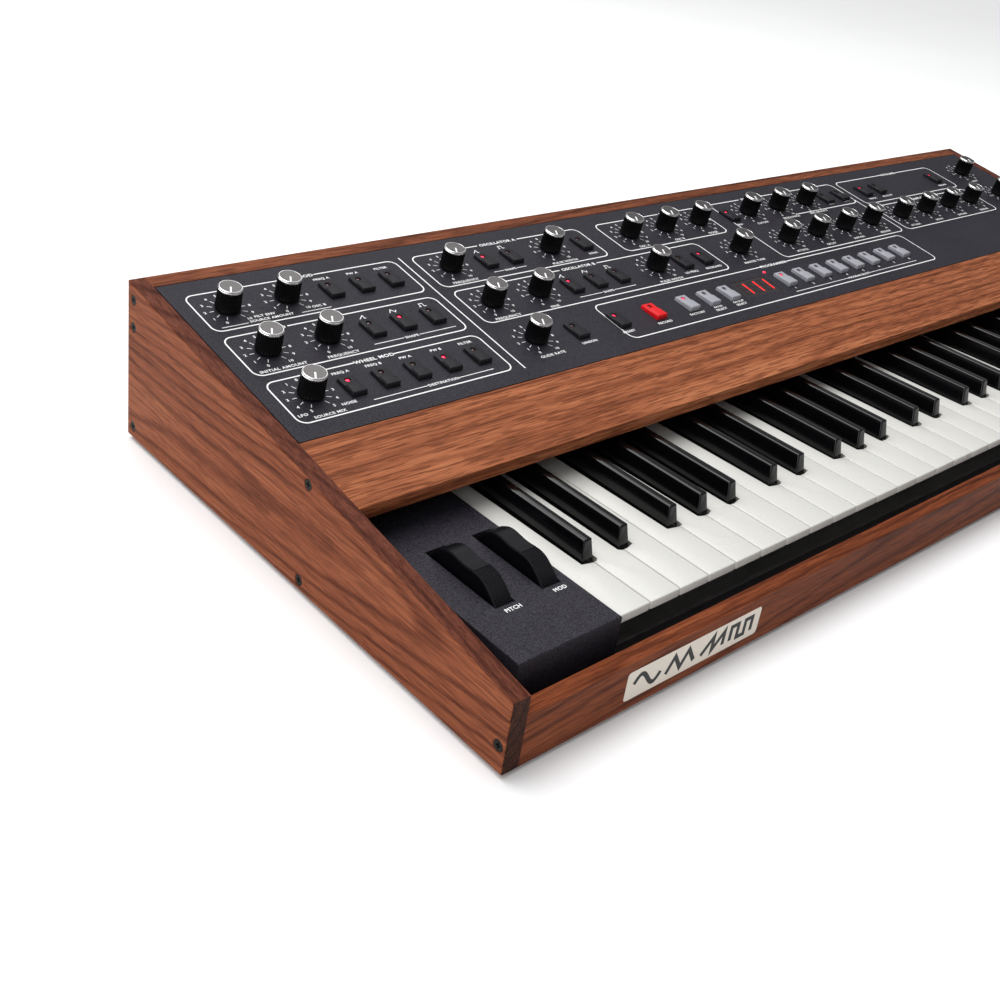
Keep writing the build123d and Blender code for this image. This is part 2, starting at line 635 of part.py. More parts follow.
# Keybed frame with the pivot rod ------------------------------------------------------------------
BED_BOTTOM = PAN_TOP + 2.0
BED_THICK = 1.5
bed_front = FRONT + WHITE_FRONT + 6.0
bed_back = KEY_BACK + 6.0
rod_left = KEYS_LEFT - 4.5
rod_right = KEYS_RIGHT + 4.5
with BuildPart() as keybed_frame:
    with BuildSketch(Plane.XY.offset(BED_BOTTOM)):
        with Locations(((rod_left + rod_right) / 2, bed_back - 9.0)):
            Rectangle(rod_right - rod_left, 18.0)
        with Locations(((KEYS_LEFT + KEYS_RIGHT) / 2, (bed_front + bed_back) / 2)):
            Rectangle(KEYS_RIGHT - KEYS_LEFT - 1.0, bed_back - bed_front)
    extrude(amount=BED_THICK)
    with BuildSketch(Plane.XY.offset(BED_BOTTOM + BED_THICK)):
        with Locations(((KEYS_LEFT + KEYS_RIGHT) / 2, bed_front + 1.0)):
            Rectangle(KEYS_RIGHT - KEYS_LEFT - 1.0, 2.0)
    extrude(amount=8.0)
    for x in (rod_left, rod_right - 2.0):
        with BuildSketch(Plane.YZ.offset(x)):
            side_rectangle(bed_back - 18.0, bed_back, BED_BOTTOM, PIVOT_Z + 6.0)
        extrude(amount=2.0)
    with BuildSketch(Plane.YZ.offset(rod_left)):
        with Locations((PIVOT_Y, PIVOT_Z)):
            Circle(PIVOT_ROD_RADIUS)
    extrude(amount=rod_right - rod_left)
    for x in (rod_left + 1.0, -130.0, 130.0, rod_right - 1.0):
        with BuildSketch(Plane.XY.offset(PAN_TOP)):
            with Locations((x, bed_back - 9.0)):
                Rectangle(2.0, 12.0)
        extrude(amount=BED_BOTTOM - PAN_TOP)
save(keybed_frame, "keybed_frame")

CONTACT_BOARD_Z = BED_BOTTOM + BED_THICK
with BuildPart() as key_contact_board:
    with BuildSketch(Plane.XY.offset(CONTACT_BOARD_Z)):
        with Locations(((KEYS_LEFT + KEYS_RIGHT) / 2, FRONT + 100.0)):
            Rectangle(KEYS_RIGHT - KEYS_LEFT - 8.0, 34.0)
    extrude(amount=1.6)
    with BuildSketch(Plane.XY.offset(CONTACT_BOARD_Z + 1.6)):
        with Locations(((KEYS_LEFT + KEYS_RIGHT) / 2, FRONT + 100.0)):
            Rectangle(KEYS_RIGHT - KEYS_LEFT - 12.0, 12.0)
    extrude(amount=2.4)
save(key_contact_board, "key_contact_board")

# Control panel ------------------------------------------------------------------------------------
ALL_CAPS = MOD_CAPS + VOICE_CAPS + PROGRAM_CAPS + RECORD_CAPS
panel_middle = (0, (PANEL_LOW + PANEL_HIGH) / 2)
with BuildPart() as control_panel:
    with BuildSketch(PANEL.offset(-PANEL_THICK)):
        with Locations(panel_middle):
            Rectangle(2 * (INNER - PANEL_GAP), PANEL_HIGH - PANEL_LOW)
        with Locations(*on_panel(KNOBS.values())):
            Circle(SHAFT_RADIUS + 0.6, mode=Mode.SUBTRACT)
        with Locations(*on_panel(ALL_CAPS)):
            Rectangle(CAP_SIZE[0] + 0.7, CAP_SIZE[1] + 0.7, mode=Mode.SUBTRACT)
        with Locations(*on_panel([DISPLAY_PLACE])):
            Rectangle(*DISPLAY_SIZE, mode=Mode.SUBTRACT)
    extrude(amount=PANEL_THICK)
save(control_panel, "control_panel")

with BuildPart() as display_window:
    with BuildSketch(PANEL.offset(-PANEL_THICK)):
        with Locations(*on_panel([DISPLAY_PLACE])):
            Rectangle(*DISPLAY_SIZE)
    extrude(amount=PANEL_THICK - 0.2)
save(display_window, "display_window")

# Panel board: pots under the knobs, switch bodies under the caps, digits under the window ---------
BOARD_THICK = 1.6
POT_RADIUS = 7.0
POT_TOP = -4.0
SWITCH_TOP = -BOARD_DROP + 3.5
board_high = PANEL_HIGH - 4.0
board_low = PANEL_LOW + 4.0
with BuildPart() as panel_board:
    with BuildSketch(PANEL.offset(-BOARD_DROP - BOARD_THICK)):
        with Locations((0, (board_low + board_high) / 2)):
            Rectangle(2 * (INNER - 8.0), board_high - board_low)
    extrude(amount=BOARD_THICK)
    with BuildSketch(PANEL.offset(-BOARD_DROP)):
        with Locations(*on_panel(KNOBS.values())):
            Circle(POT_RADIUS)
    extrude(amount=POT_TOP + BOARD_DROP)
    with BuildSketch(PANEL.offset(-BOARD_DROP)):
        with Locations(*on_panel(ALL_CAPS)):
            Rectangle(8.0, 8.0)
    extrude(amount=SWITCH_TOP + BOARD_DROP)
    with BuildSketch(PANEL.offset(-BOARD_DROP)):
        with Locations(*on_panel([DISPLAY_PLACE])):
            Rectangle(DISPLAY_SIZE[0] - 4.0, DISPLAY_SIZE[1] - 3.0)
    extrude(amount=BOARD_DROP - PANEL_THICK - 0.5)
    with BuildSketch(PANEL.offset(POT_TOP)):
        with Locations(*on_panel(KNOBS.values())):
            Circle(SHAFT_RADIUS + RUNNING_FIT)
    extrude(amount=POT_TOP + BOARD_DROP - 13.5, mode=Mode.SUBTRACT)
save(panel_board, "panel_board")

# Main board on the base pan -----------------------------------------------------------------------
with BuildPart() as voice_board:
    with BuildSketch(Plane.XY.offset(PAN_TOP)):
        with Locations((0, 90.0)):
            with GridLocations(360.0, 100.0, 3, 2):
                Circle(3.0)
    extrude(amount=8.0)
    with BuildSketch(Plane.XY.offset(PAN_TOP + 8.0)):
        with Locations((0, 90.0)):
            Rectangle(780.0, 120.0)
    extrude(amount=1.6)
    with BuildSketch(Plane.XY.offset(PAN_TOP + 9.6)):
        with Locations((-30.0, 90.0)):
            with GridLocations(64.0, 34.0, 10, 3):
                Rectangle(18.0, 9.0)
        with Locations((355.0, 80.0)):
            Rectangle(50.0, 60.0)
    extrude(amount=6.0)
save(voice_board, "voice_board")

# Knobs --------------------------------------------------------------------------------------------
def knob(place, name):
    """A knob with its shaft, standing on the panel and running in the pot below."""
    (x, up), = on_panel([place])
    base = Plane(origin=PANEL.from_local_coords((x, up, 0)), x_dir=(1, 0, 0), z_dir=PANEL.z_dir)
    with BuildPart() as piece:
        with BuildSketch(base.offset(1.0)):
            Circle(KNOB_RADIUS)
        extrude(amount=KNOB_TOP - 1.0)
        chamfer(piece.faces().sort_by(Axis((0, 0, 0), PANEL.z_dir))[-1].edges(), 0.7)
        with BuildSketch(base.offset(1.0)):
            Circle(SHAFT_RADIUS)
        extrude(amount=-(BOARD_DROP - 0.5))
    save(piece, name)


for knob_name, knob_place in KNOBS.items():
    knob(knob_place, knob_name)


# Push-button caps ---------------------------------------------------------------------------------
def caps(places, name):
    """A set of push-button caps that stand through the panel over their switches."""
    with BuildPart() as piece:
        with BuildSketch(PANEL.offset(SWITCH_TOP + CAP_TRAVEL_GAP)):
            with Locations(*on_panel(places)):
                Rectangle(*CAP_SIZE)
        extrude(amount=CAP_RISE - SWITCH_TOP - CAP_TRAVEL_GAP)
        with BuildSketch(PANEL.offset(CAP_RISE - 1.3)):
            with Locations(*[(x, up + 4.6) for x, up in on_panel(places)]):
                Rectangle(CAP_SIZE[0] + 1.0, 8.0)
        extrude(amount=2.0, mode=Mode.SUBTRACT)
    save(piece, name)


caps(MOD_CAPS, "mod_switches")
caps(VOICE_CAPS, "voice_switches")
caps(PROGRAM_CAPS, "program_switches")
caps(RECORD_CAPS, "record_switch")
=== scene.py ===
"""Looks of a walnut-cased keyboard synthesizer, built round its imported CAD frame.

Everything is in metres in the CAD's own frame: +X along the keyboard to the treble end, +Y from the
player to the rear, +Z up. On the control panel, places are millimetres: x from the left end of the
case, v up the slope from the front of the case, h above the panel's face.
"""

import json
from math import cos, pi, radians, sin

import bmesh
import bpy
from mathutils import Matrix, Vector


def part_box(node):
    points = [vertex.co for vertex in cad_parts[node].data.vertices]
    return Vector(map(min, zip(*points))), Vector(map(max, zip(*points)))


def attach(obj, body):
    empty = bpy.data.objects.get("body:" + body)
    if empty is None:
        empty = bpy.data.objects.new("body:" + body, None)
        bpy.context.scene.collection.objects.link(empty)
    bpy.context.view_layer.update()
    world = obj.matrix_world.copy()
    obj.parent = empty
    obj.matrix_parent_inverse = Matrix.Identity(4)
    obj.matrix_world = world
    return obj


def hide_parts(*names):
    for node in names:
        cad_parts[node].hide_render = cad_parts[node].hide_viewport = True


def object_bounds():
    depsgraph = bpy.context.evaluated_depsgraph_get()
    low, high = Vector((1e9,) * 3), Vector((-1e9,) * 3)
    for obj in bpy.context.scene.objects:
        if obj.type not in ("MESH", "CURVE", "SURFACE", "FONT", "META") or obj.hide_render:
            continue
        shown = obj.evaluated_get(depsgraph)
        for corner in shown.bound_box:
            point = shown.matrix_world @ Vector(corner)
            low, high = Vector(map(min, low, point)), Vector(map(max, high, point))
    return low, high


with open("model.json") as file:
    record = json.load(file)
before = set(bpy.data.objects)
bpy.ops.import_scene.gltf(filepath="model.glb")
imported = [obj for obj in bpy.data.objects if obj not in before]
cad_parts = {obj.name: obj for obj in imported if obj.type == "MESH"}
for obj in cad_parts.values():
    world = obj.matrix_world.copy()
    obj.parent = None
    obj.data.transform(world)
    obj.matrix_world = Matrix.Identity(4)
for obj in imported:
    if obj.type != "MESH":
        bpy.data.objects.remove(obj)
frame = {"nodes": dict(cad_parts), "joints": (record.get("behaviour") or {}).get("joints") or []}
cad_low, cad_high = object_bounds()

MM = 0.001
CASE = "case"
nodes = frame["nodes"]
joints = {joint["name"]: joint for joint in frame["joints"]}

# The control panel's own frame, from one of its hinge axes ------------------------------------
ANCHOR = joints["turn_poly_mod_envelope"]
PANEL_NORMAL = -Vector(ANCHOR["axis"]).normalized()
PANEL_UP = PANEL_NORMAL.cross(Vector((1, 0, 0)))
anchor_place = Vector(ANCHOR["pos_m"])
slide = (cad_low.y - anchor_place.y) / PANEL_UP.y
PANEL_ORIGIN = Vector((cad_low.x, cad_low.y, anchor_place.z + slide * PANEL_UP.z))
PANEL = Matrix.Translation(PANEL_ORIGIN) @ Matrix((Vector((1, 0, 0)), PANEL_UP, PANEL_NORMAL)).transposed().to_4x4()
PANEL_INVERSE = PANEL.inverted()


def on_panel(point):
    """The panel's own millimetres of a point given in metres."""
    return (PANEL_INVERSE @ Vector(point)) / MM


# Materials ------------------------------------------------------------------------------------
def srgb(red, green, blue):
    """A linear colour from screen values of 0 to 255."""
    return tuple(
        (v / 255 / 12.92) if v / 255 <= 0.04045 else ((v / 255 + 0.055) / 1.055) ** 2.4
        for v in (red, green, blue)
    ) + (1.0,)


class Shader:
    """A material with one Principled shader, and short calls for the nodes that feed it."""

    def __init__(self, name, **sockets):
        self.material = bpy.data.materials.new(name)
        self.material.use_nodes = True
        self.tree = self.material.node_tree
        self.main = self.tree.nodes["Principled BSDF"]
        for socket, value in sockets.items():
            self.main.inputs[socket.replace("_", " ")].default_value = value
        self.coordinates = self.tree.nodes.new("ShaderNodeTexCoord").outputs["Object"]

    def node(self, kind, inputs=None, **settings):
        made = self.tree.nodes.new("ShaderNode" + kind)
        for key, value in settings.items():
            setattr(made, key, value)
        for key, value in (inputs or {}).items():
            if isinstance(value, bpy.types.NodeSocket):
                self.tree.links.new(value, made.inputs[key])
            else:
                made.inputs[key].default_value = value
        return made

    def mapped(self, scale=(1, 1, 1), turn=(0, 0, 0), shift=(0, 0, 0)):
        inputs = {"Vector": self.coordinates, "Scale": scale, "Rotation": turn, "Location": shift}
        return self.node("Mapping", inputs).outputs["Vector"]

    def noise(self, vector, scale, detail=2.0, rough=0.5):
        inputs = {"Vector": vector, "Scale": scale, "Detail": detail, "Roughness": rough}
        return self.node("TexNoise", inputs).outputs["Fac"]

    def ramp(self, factor, *stops):
        made = self.node("ValToRGB", {"Fac": factor})
        elements = made.color_ramp.elements
        while len(elements) < len(stops):
            elements.new(0.5)
        for element, (place, colour) in zip(elements, stops):
            element.position = place
            element.color = colour if isinstance(colour, tuple) else (colour, colour, colour, 1.0)
        return made.outputs["Color"]

    def blend(self, factor, low, high, kind="MIX"):
        made = self.node("Mix", data_type="RGBA", blend_type=kind)
        for index, value in ((0, factor), (6, low), (7, high)):
            if isinstance(value, bpy.types.NodeSocket):
                self.tree.links.new(value, made.inputs[index])
            else:
                made.inputs[index].default_value = value
        return made.outputs[2]

    def math(self, kind, first, second=0.0):
        return self.node("Math", {0: first, 1: second}, operation=kind).outputs[0]

    def bump(self, height, distance, strength=1.0):
        inputs = {"Height": height, "Distance": distance, "Strength": strength}
        return self.node("Bump", inputs).outputs["Normal"]

    def feed(self, socket, value):
        self.tree.links.new(value, self.main.inputs[socket])


def walnut(name, along, dark, mid, light, figure, fleck, streak, shift, edge=(1.0, 1.0, 1.0, 1.0)):
    """Oiled walnut with its grain along X or Y: growth rings, streaks, fibres and open pores; edge multiplies the
    colour of upward faces, which is painted shade.
    """
    wood = Shader(name, Specular_IOR_Level=0.06)
    tilt = (0, radians(2.0), radians(3.2)) if along == "X" else (radians(3.0), 0, radians(2.4))

    def stretched(amount):
        return (amount, 1, 1) if along == "X" else (1, amount, 1)

    wander = wood.node(
        "TexNoise", {"Vector": wood.mapped(stretched(0.22)), "Scale": 11.0, "Detail": 2.0}
    ).outputs["Color"]
    away = wood.node("VectorMath", {0: wander, 1: (0.5, 0.5, 0.5)}, operation="SUBTRACT").outputs[0]
    away = wood.node("VectorMath", {0: away, "Scale": 0.042 * figure}, operation="SCALE").outputs[0]
    bent = wood.node("VectorMath", {0: wood.mapped((1, 1, 1), tilt, shift), 1: away}, operation="ADD")
    rings = wood.node(
        "TexWave",
        {"Vector": bent.outputs[0], "Scale": 44.0, "Distortion": 0.8, "Detail": 2.0, "Detail Scale": 1.6},
        wave_type="RINGS",
        rings_direction=along,
    ).outputs["Fac"]
    lines = wood.ramp(rings, (0.0, 1.0), (0.18, 0.45), (0.5, 0.0))
    streaks = wood.noise(wood.mapped(stretched(0.03)), 620.0, 4.0, 0.72)
    broad = wood.noise(wood.mapped(stretched(0.06)), 30.0, 2.0, 0.5)
    tone = wood.math("MULTIPLY", broad, 0.3)
    tone = wood.math("ADD", tone, wood.math("MULTIPLY", streaks, streak))
    tone = wood.math("SUBTRACT", tone, wood.math("MULTIPLY", lines, 0.15 * figure))
    half = (0.3 + streak) / 2
    colour = wood.ramp(tone, (half - 0.2, dark), (half, mid), (half + 0.17, light))
    fibres = wood.noise(wood.mapped(stretched(0.03)), 1300.0, 2.0, 0.7)
    colour = wood.blend(0.7, colour, wood.ramp(fibres, (0.3, 0.55), (0.7, 1.0)), "MULTIPLY")
    pores = wood.noise(wood.mapped(stretched(0.07), shift=(0.3, 0.1, 0.2)), 800.0, 1.0, 0.5)
    pores = wood.ramp(pores, (0.53, 0.0), (0.62, 1.0))
    colour = wood.blend(wood.math("MULTIPLY", pores, fleck), colour, dark)
    facing = wood.node("SeparateXYZ", {0: wood.node("NewGeometry").outputs["Normal"]})
    ends = wood.math("GREATER_THAN", wood.math("ABSOLUTE", facing.outputs[along]), 0.8)
    cells = wood.ramp(wood.noise(wood.coordinates, 1100.0, 2.0), (0.35, 0.10), (0.7, 0.36))
    colour = wood.blend(ends, colour, wood.blend(1.0, colour, cells, "MULTIPLY"))
    # Painted shade: faces turned up have their colour multiplied by edge, darker and bluer on the side panels
    shaded_tops = wood.math("GREATER_THAN", facing.outputs["Z"], 0.7)
    wood.feed("Base Color", wood.blend(shaded_tops, colour, wood.blend(1.0, colour, edge, "MULTIPLY")))
    wood.feed("Roughness", wood.math("ADD", wood.math("MULTIPLY", streaks, 0.25), 0.36))
    grooves = wood.math("SUBTRACT", fibres, wood.math("MULTIPLY", pores, 1.4))
    wood.feed("Normal", wood.bump(grooves, 0.00016, 0.8))
    return wood.material


def coated(name, colour, rough=0.5, grain=2600.0, depth=0.00005, spread=0.35, **sockets):
    """Powder coat or moulded plastic: a fine texture with slight changes of tone and gloss."""
    paint = Shader(name, **sockets)
    fine = paint.noise(paint.coordinates, grain, 3.0, 0.6)
    wide = paint.noise(paint.coordinates, 11.0, 3.0)
    low = tuple(c * (1 - spread) for c in colour[:3]) + (1.0,)
    high = tuple(min(1.0, c * (1 + spread)) for c in colour[:3]) + (1.0,)
    tone = paint.blend(0.15, paint.ramp(fine, (0.38, low), (0.62, high)), paint.ramp(wide, (0.3, low), (0.7, high)))
    paint.feed("Base Color", tone)
    paint.feed("Roughness", paint.math("ADD", paint.math("MULTIPLY", wide, 0.14), rough - 0.07))
    paint.feed("Normal", paint.bump(fine, depth))
    return paint.material


def brushed(name, colour, rough, ring=False, mark=0.28, **sockets):
    """Metal with fine turning marks round the piece's own Z axis, or a straight grain along X."""
    metal = Shader(name, Metallic=1.0, **sockets)
    if ring:
        parts = metal.node("SeparateXYZ", {0: metal.coordinates}).outputs
        square = metal.math("ADD", metal.math("MULTIPLY", parts[0], parts[0]), metal.math("MULTIPLY", parts[1], parts[1]))
        radius = metal.math("SQRT", square)
        vector = metal.node("CombineXYZ", {0: radius, 1: parts[2]}).outputs[0]
        lines = metal.noise(vector, 5200.0, 2.0, 0.7)
    else:
        lines = metal.noise(metal.mapped((0.02, 1, 1)), 1800.0, 3.0, 0.7)
    low = tuple(c * (1 - mark) for c in colour[:3]) + (1.0,)
    metal.feed("Base Color", metal.ramp(lines, (0.3, low), (0.7, colour)))
    metal.feed("Roughness", metal.math("ADD", metal.math("MULTIPLY", lines, 0.2), rough - 0.1))
    metal.feed("Normal", metal.bump(lines, 0.00002, 2 * mark))
    return metal.material


def lamp_material(name, colour, glow, power):
    """A coloured lens with cloudy patches of tone and glow."""
    lens = Shader(name, Roughness=0.22, Specular_IOR_Level=0.5, Emission_Strength=power)
    cloud = lens.noise(lens.coordinates, 900.0, 2.0)
    lens.feed("Base Color", lens.ramp(cloud, (0.3, tuple(c * 0.7 for c in colour[:3]) + (1.0,)), (0.7, colour)))
    lens.feed("Emission Color", lens.ramp(cloud, (0.25, tuple(c * 0.8 for c in glow[:3]) + (1.0,)), (0.75, glow)))
    return lens.material


def ink(name, colour, rough=0.5):
    """Screen-printed ink, very slightly uneven."""
    print_ = Shader(name, Specular_IOR_Level=0.3)
    patches = print_.noise(print_.coordinates, 1900.0, 3.0, 0.6)
    low = tuple(c * 0.86 for c in colour[:3]) + (1.0,)
    print_.feed("Base Color", print_.ramp(patches, (0.35, low), (0.6, colour)))
    print_.feed("Roughness", print_.math("ADD", print_.math("MULTIPLY", patches, 0.2), rough - 0.1))
    print_.feed("Normal", print_.bump(patches, 0.00001, 0.5))
    return print_.material


def board_material():
    """Green solder mask with copper tracks."""
    board = Shader("board_green", Specular_IOR_Level=0.5)
    tracks = board.node(
        "TexBrick",
        {
            "Vector": board.coordinates,
            "Scale": 90.0,
            "Color1": (0.012, 0.10, 0.045, 1),
            "Color2": (0.016, 0.13, 0.05, 1),
            "Mortar": (0.05, 0.24, 0.07, 1),
            "Mortar Size": 0.03,
        },
    ).outputs["Color"]
    dots = board.ramp(board.noise(board.coordinates, 620.0, 1.0), (0.6, 0.0), (0.64, 1.0))
    board.feed("Base Color", board.blend(board.math("MULTIPLY", dots, 0.6), tracks, (0.42, 0.36, 0.2, 1)))
    board.feed("Roughness", board.math("ADD", board.math("MULTIPLY", dots, 0.2), 0.35))
    return board.material


SIDE_TONES = (srgb(84, 38, 21), srgb(144, 80, 52), srgb(174, 108, 74))
# Painted shade, slightly blue, for the side panels' upward faces
SIDE_TOP_SHADE = (0.50, 0.50, 0.66, 1.0)
LEFT_WOOD = walnut("walnut_left", "Y", *SIDE_TONES, 0.9, 0.4, 0.45, (0.505, 0.2, -0.045), SIDE_TOP_SHADE)
RIGHT_WOOD = walnut("walnut_right", "Y", *SIDE_TONES, 0.9, 0.4, 0.45, (-0.45, 0.3, -0.06), SIDE_TOP_SHADE)
FRONT_WOOD = walnut(
    "walnut_front", "X", srgb(70, 31, 17), srgb(128, 66, 38), srgb(160, 92, 58), 0.8, 0.45, 0.45, (0.3, 0.205, -0.03)
)
STRIP_WOOD = walnut(
    "walnut_strip", "X", srgb(86, 42, 24), srgb(158, 92, 60), srgb(198, 128, 88), 0.7, 0.6, 0.5, (0.02, 0.05, -0.03)
)
REAR_WOOD = walnut(
    "walnut_rear", "X", srgb(64, 30, 18), srgb(124, 70, 46), srgb(154, 92, 64), 0.8, 0.55, 0.5, (0.1, -0.15, -0.06)
)
PANEL_BLACK = coated("panel_black", (0.0205, 0.0188, 0.0255, 1), 0.5, 1500.0, 0.00022, 0.9, Specular_IOR_Level=0.16)
BOX_BLACK = coated("box_black", (0.0225, 0.0205, 0.0275, 1), 0.5, 1300.0, 0.00024, 0.9, Specular_IOR_Level=0.16)
PAN_BLACK = coated("pan_black", (0.016, 0.015, 0.018, 1), 0.5, 1300.0, 0.00018, 0.5, Specular_IOR_Level=0.3)
ZINC = brushed("zinc_plate", (0.56, 0.57, 0.58, 1), 0.38)
NICKEL = brushed("nickel", (0.68, 0.66, 0.62, 1), 0.25)
BOARD_GREEN = board_material()
SOCKET_BLACK = coated("socket_black", (0.016, 0.016, 0.017, 1), 0.42, 1500.0, 0.00004)
GRIP_BLACK = coated("grip_black", (0.0018, 0.0018, 0.0024, 1), 0.4, 2600.0, 0.00003, 0.3, Specular_IOR_Level=0.1)
WHEEL_BLACK = coated("wheel_black", (0.002, 0.002, 0.0035, 1), 0.4, 2300.0, 0.00003, 0.3, Specular_IOR_Level=0.14)
CAP_BLACK = coated("cap_black", (0.012, 0.011, 0.0135, 1), 0.44, 1500.0, 0.00012, 0.7, Specular_IOR_Level=0.16)
CAP_GREY = coated("cap_grey", srgb(150, 151, 158), 0.5, 2400.0, 0.00005, 0.1)
CAP_RED = coated("cap_red", srgb(214, 13, 22), 0.42, 2400.0, 0.00004, 0.12, Specular_IOR_Level=0.3)
IVORY = coated("ivory_white", srgb(208, 207, 202), 0.3, 900.0, 0.000008, 0.03, Coat_Weight=0.15)
EBONY = coated(
    "ebony_gloss", (0.0015, 0.0015, 0.002, 1), 0.16, 700.0, 0.000004, 0.3,
    Specular_IOR_Level=0.3, Coat_Weight=0.25, Coat_Roughness=0.08,
)
SCREW_BLACK = coated("screw_black", (0.004, 0.0035, 0.003, 1), 0.4, 2000.0, 0.00004, 0.3, Specular_IOR_Level=0.12)
RUBBER = coated("rubber_foot", (0.014, 0.014, 0.014, 1), 0.75, 1300.0, 0.00008, 0.3)
CREAM = coated("cream_plate", srgb(221, 211, 198), 0.45, 1500.0, 0.00003, 0.06)
# The inlay's top is the rim's aluminium darkened: a painted dark reflection
ALUMINIUM_TOP_DARKENED = brushed("inlay_top_painted_dark", (0.17, 0.16, 0.16, 1), 0.42, mark=0.35)
ALUMINIUM_RIM = brushed("inlay_rim", (0.86, 0.85, 0.85, 1), 0.2, ring=True, mark=0.08)
WHITE_INK = ink("white_ink", (0.86, 0.86, 0.86, 1))
DARK_INK = ink("dark_ink", (0.012, 0.012, 0.014, 1))
POINTER_WHITE = ink("pointer_white", (0.9, 0.9, 0.9, 1), 0.35)
LAMP_ON = lamp_material("lamp_on", srgb(200, 20, 60), srgb(255, 44, 88), 1.5)
# Faint painted glow: the unlit lamp still emits a little dark red light
LAMP_OFF = lamp_material("lamp_off", srgb(58, 8, 14), srgb(60, 0, 4), 0.05)
SEGMENT_ON = lamp_material("segment_on", srgb(200, 16, 20), srgb(255, 30, 30), 2.2)
# Faint painted glow: the unlit segments still emit a little dark red light
SEGMENT_OFF = lamp_material("segment_off", srgb(40, 6, 8), srgb(60, 0, 4), 0.03)
SMOKED = coated("smoked_window", (0.010, 0.004, 0.005, 1), 0.12, 900.0, 0.000003, 0.2, Coat_Weight=0.5)

NODE_LOOKS = {
    "left_side_panel": LEFT_WOOD,
    "right_side_panel": RIGHT_WOOD,
    "front_rail": FRONT_WOOD,
    "middle_rail": STRIP_WOOD,
    "rear_rail": REAR_WOOD,
    "base_pan": PAN_BLACK,
    "rear_panel": PAN_BLACK,
    "control_panel": PANEL_BLACK,
    "wheel_box": BOX_BLACK,
    "key_end_block": BOX_BLACK,
    "keybed_frame": ZINC,
    "wheel_bracket": ZINC,
    "key_contact_board": BOARD_GREEN,
    "panel_board": BOARD_GREEN,
    "voice_board": BOARD_GREEN,
    "rear_jacks": NICKEL,
    "midi_sockets": SOCKET_BLACK,
    "power_inlet": SOCKET_BLACK,
    "power_rocker": CAP_RED,
    "display_window": SMOKED,
    "case_screws": SCREW_BLACK,
    "feet": RUBBER,
}
for node_name, look in NODE_LOOKS.items():
    node = nodes[node_name]
    if not node.data.materials:
        node.data.materials.append(look)
    for node_slot in node.material_slots:
        node_slot.material = look


# Mesh helpers -----------------------------------------------------------------------------------
def mesh_of(bm, name, looks, smooth_angle=30.0):
    """Ends a bmesh, made in metres, as a mesh with its materials."""
    bmesh.ops.recalc_face_normals(bm, faces=bm.faces)
    mesh = bpy.data.meshes.new(name)
    bm.to_mesh(mesh)
    bm.free()
    for look in looks:
        mesh.materials.append(look)
    mesh.shade_smooth()
    mesh.set_sharp_from_angle(angle=radians(smooth_angle))
    return mesh


def stand(name, mesh, body, place=None, replaces=()):
    """Puts a mesh into the scene as a piece that rides on a body."""
    piece = bpy.data.objects.new(name, mesh)
    bpy.context.scene.collection.objects.link(piece)
    if place:
        piece.matrix_world = place
    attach(piece, body)
    if replaces:
        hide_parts(*replaces)
    return piece


def at_panel(x, v, h=0.0):
    """The matrix of a place on the panel, with its Y up the slope and its Z out of it."""
    return PANEL @ Matrix.Translation(Vector((x, v, h)) * MM)


def skin(bm, rings, closed=True, ends=True):
    """Joins rings of vertices, given in millimetres, into a closed skin."""
    rows = [[bm.verts.new(Vector(p) * MM) for p in ring] for ring in rings]
    for lower, upper in zip(rows, rows[1:]):
        count = len(lower)
        for i in range(count if closed else count - 1):
            bm.faces.new((lower[i], lower[(i + 1) % count], upper[(i + 1) % count], upper[i]))
    if ends:
        bm.faces.new(rows[0])
        bm.faces.new(rows[-1])
    return rows


def prism(bm, outline, low, high, matrix=Matrix.Identity(4)):
    """A straight closed solid on a flat outline, in millimetres; returns its faces' vertices."""
    bottom = [bm.verts.new(matrix @ (Vector((x, y, low)) * MM)) for x, y in outline]
    top = [bm.verts.new(matrix @ (Vector((x, y, high)) * MM)) for x, y in outline]
    count = len(outline)
    bm.faces.new(bottom[::-1])
    bm.faces.new(top)
    for i in range(count):
        j = (i + 1) % count
        bm.faces.new((bottom[i], bottom[j], top[j], top[i]))
    return bottom, top


def edges_between(bm, verts):
    """Every edge whose two ends are both in the given vertices."""
    chosen = set(verts)
    return [e for e in bm.edges if e.verts[0] in chosen and e.verts[1] in chosen]


# Knobs: ribbed grip, turned aluminium inlay and pointer ------------------------------------------
KNOB_TOP = 16.3
RIBS = 30
STEPS_PER_RIB = 6
POINTER_ANGLE = radians(150.0)


def turned(profile, count, rib_depth):
    """Rings of a turned profile of (radius, height, ribbed); ribs are shallow round grooves."""
    rings = []
    for radius, height, ribbed in profile:
        ring = []
        for i in range(count):
            angle = 2 * pi * i / count
            groove = rib_depth * (0.5 - 0.5 * cos(angle * RIBS)) ** 0.6 if ribbed else 0.0
            ring.append(((radius - groove) * cos(angle), (radius - groove) * sin(angle), height))
        rings.append(ring)
    return rings


def grip_mesh():
    bm = bmesh.new()
    profile = [
        (7.7, 1.0, False),
        (8.0, 1.2, False),
        (8.05, 1.9, False),
        (7.95, 2.3, False),
        (7.9, 2.6, True),
        (7.8, 8.0, True),
        (7.7, 13.6, True),
        (7.62, 14.0, False),
        (7.4, 14.3, False),
    ]
    skin(bm, turned(profile, RIBS * STEPS_PER_RIB, 0.28))
    return mesh_of(bm, "knob_grip", [GRIP_BLACK], 40)


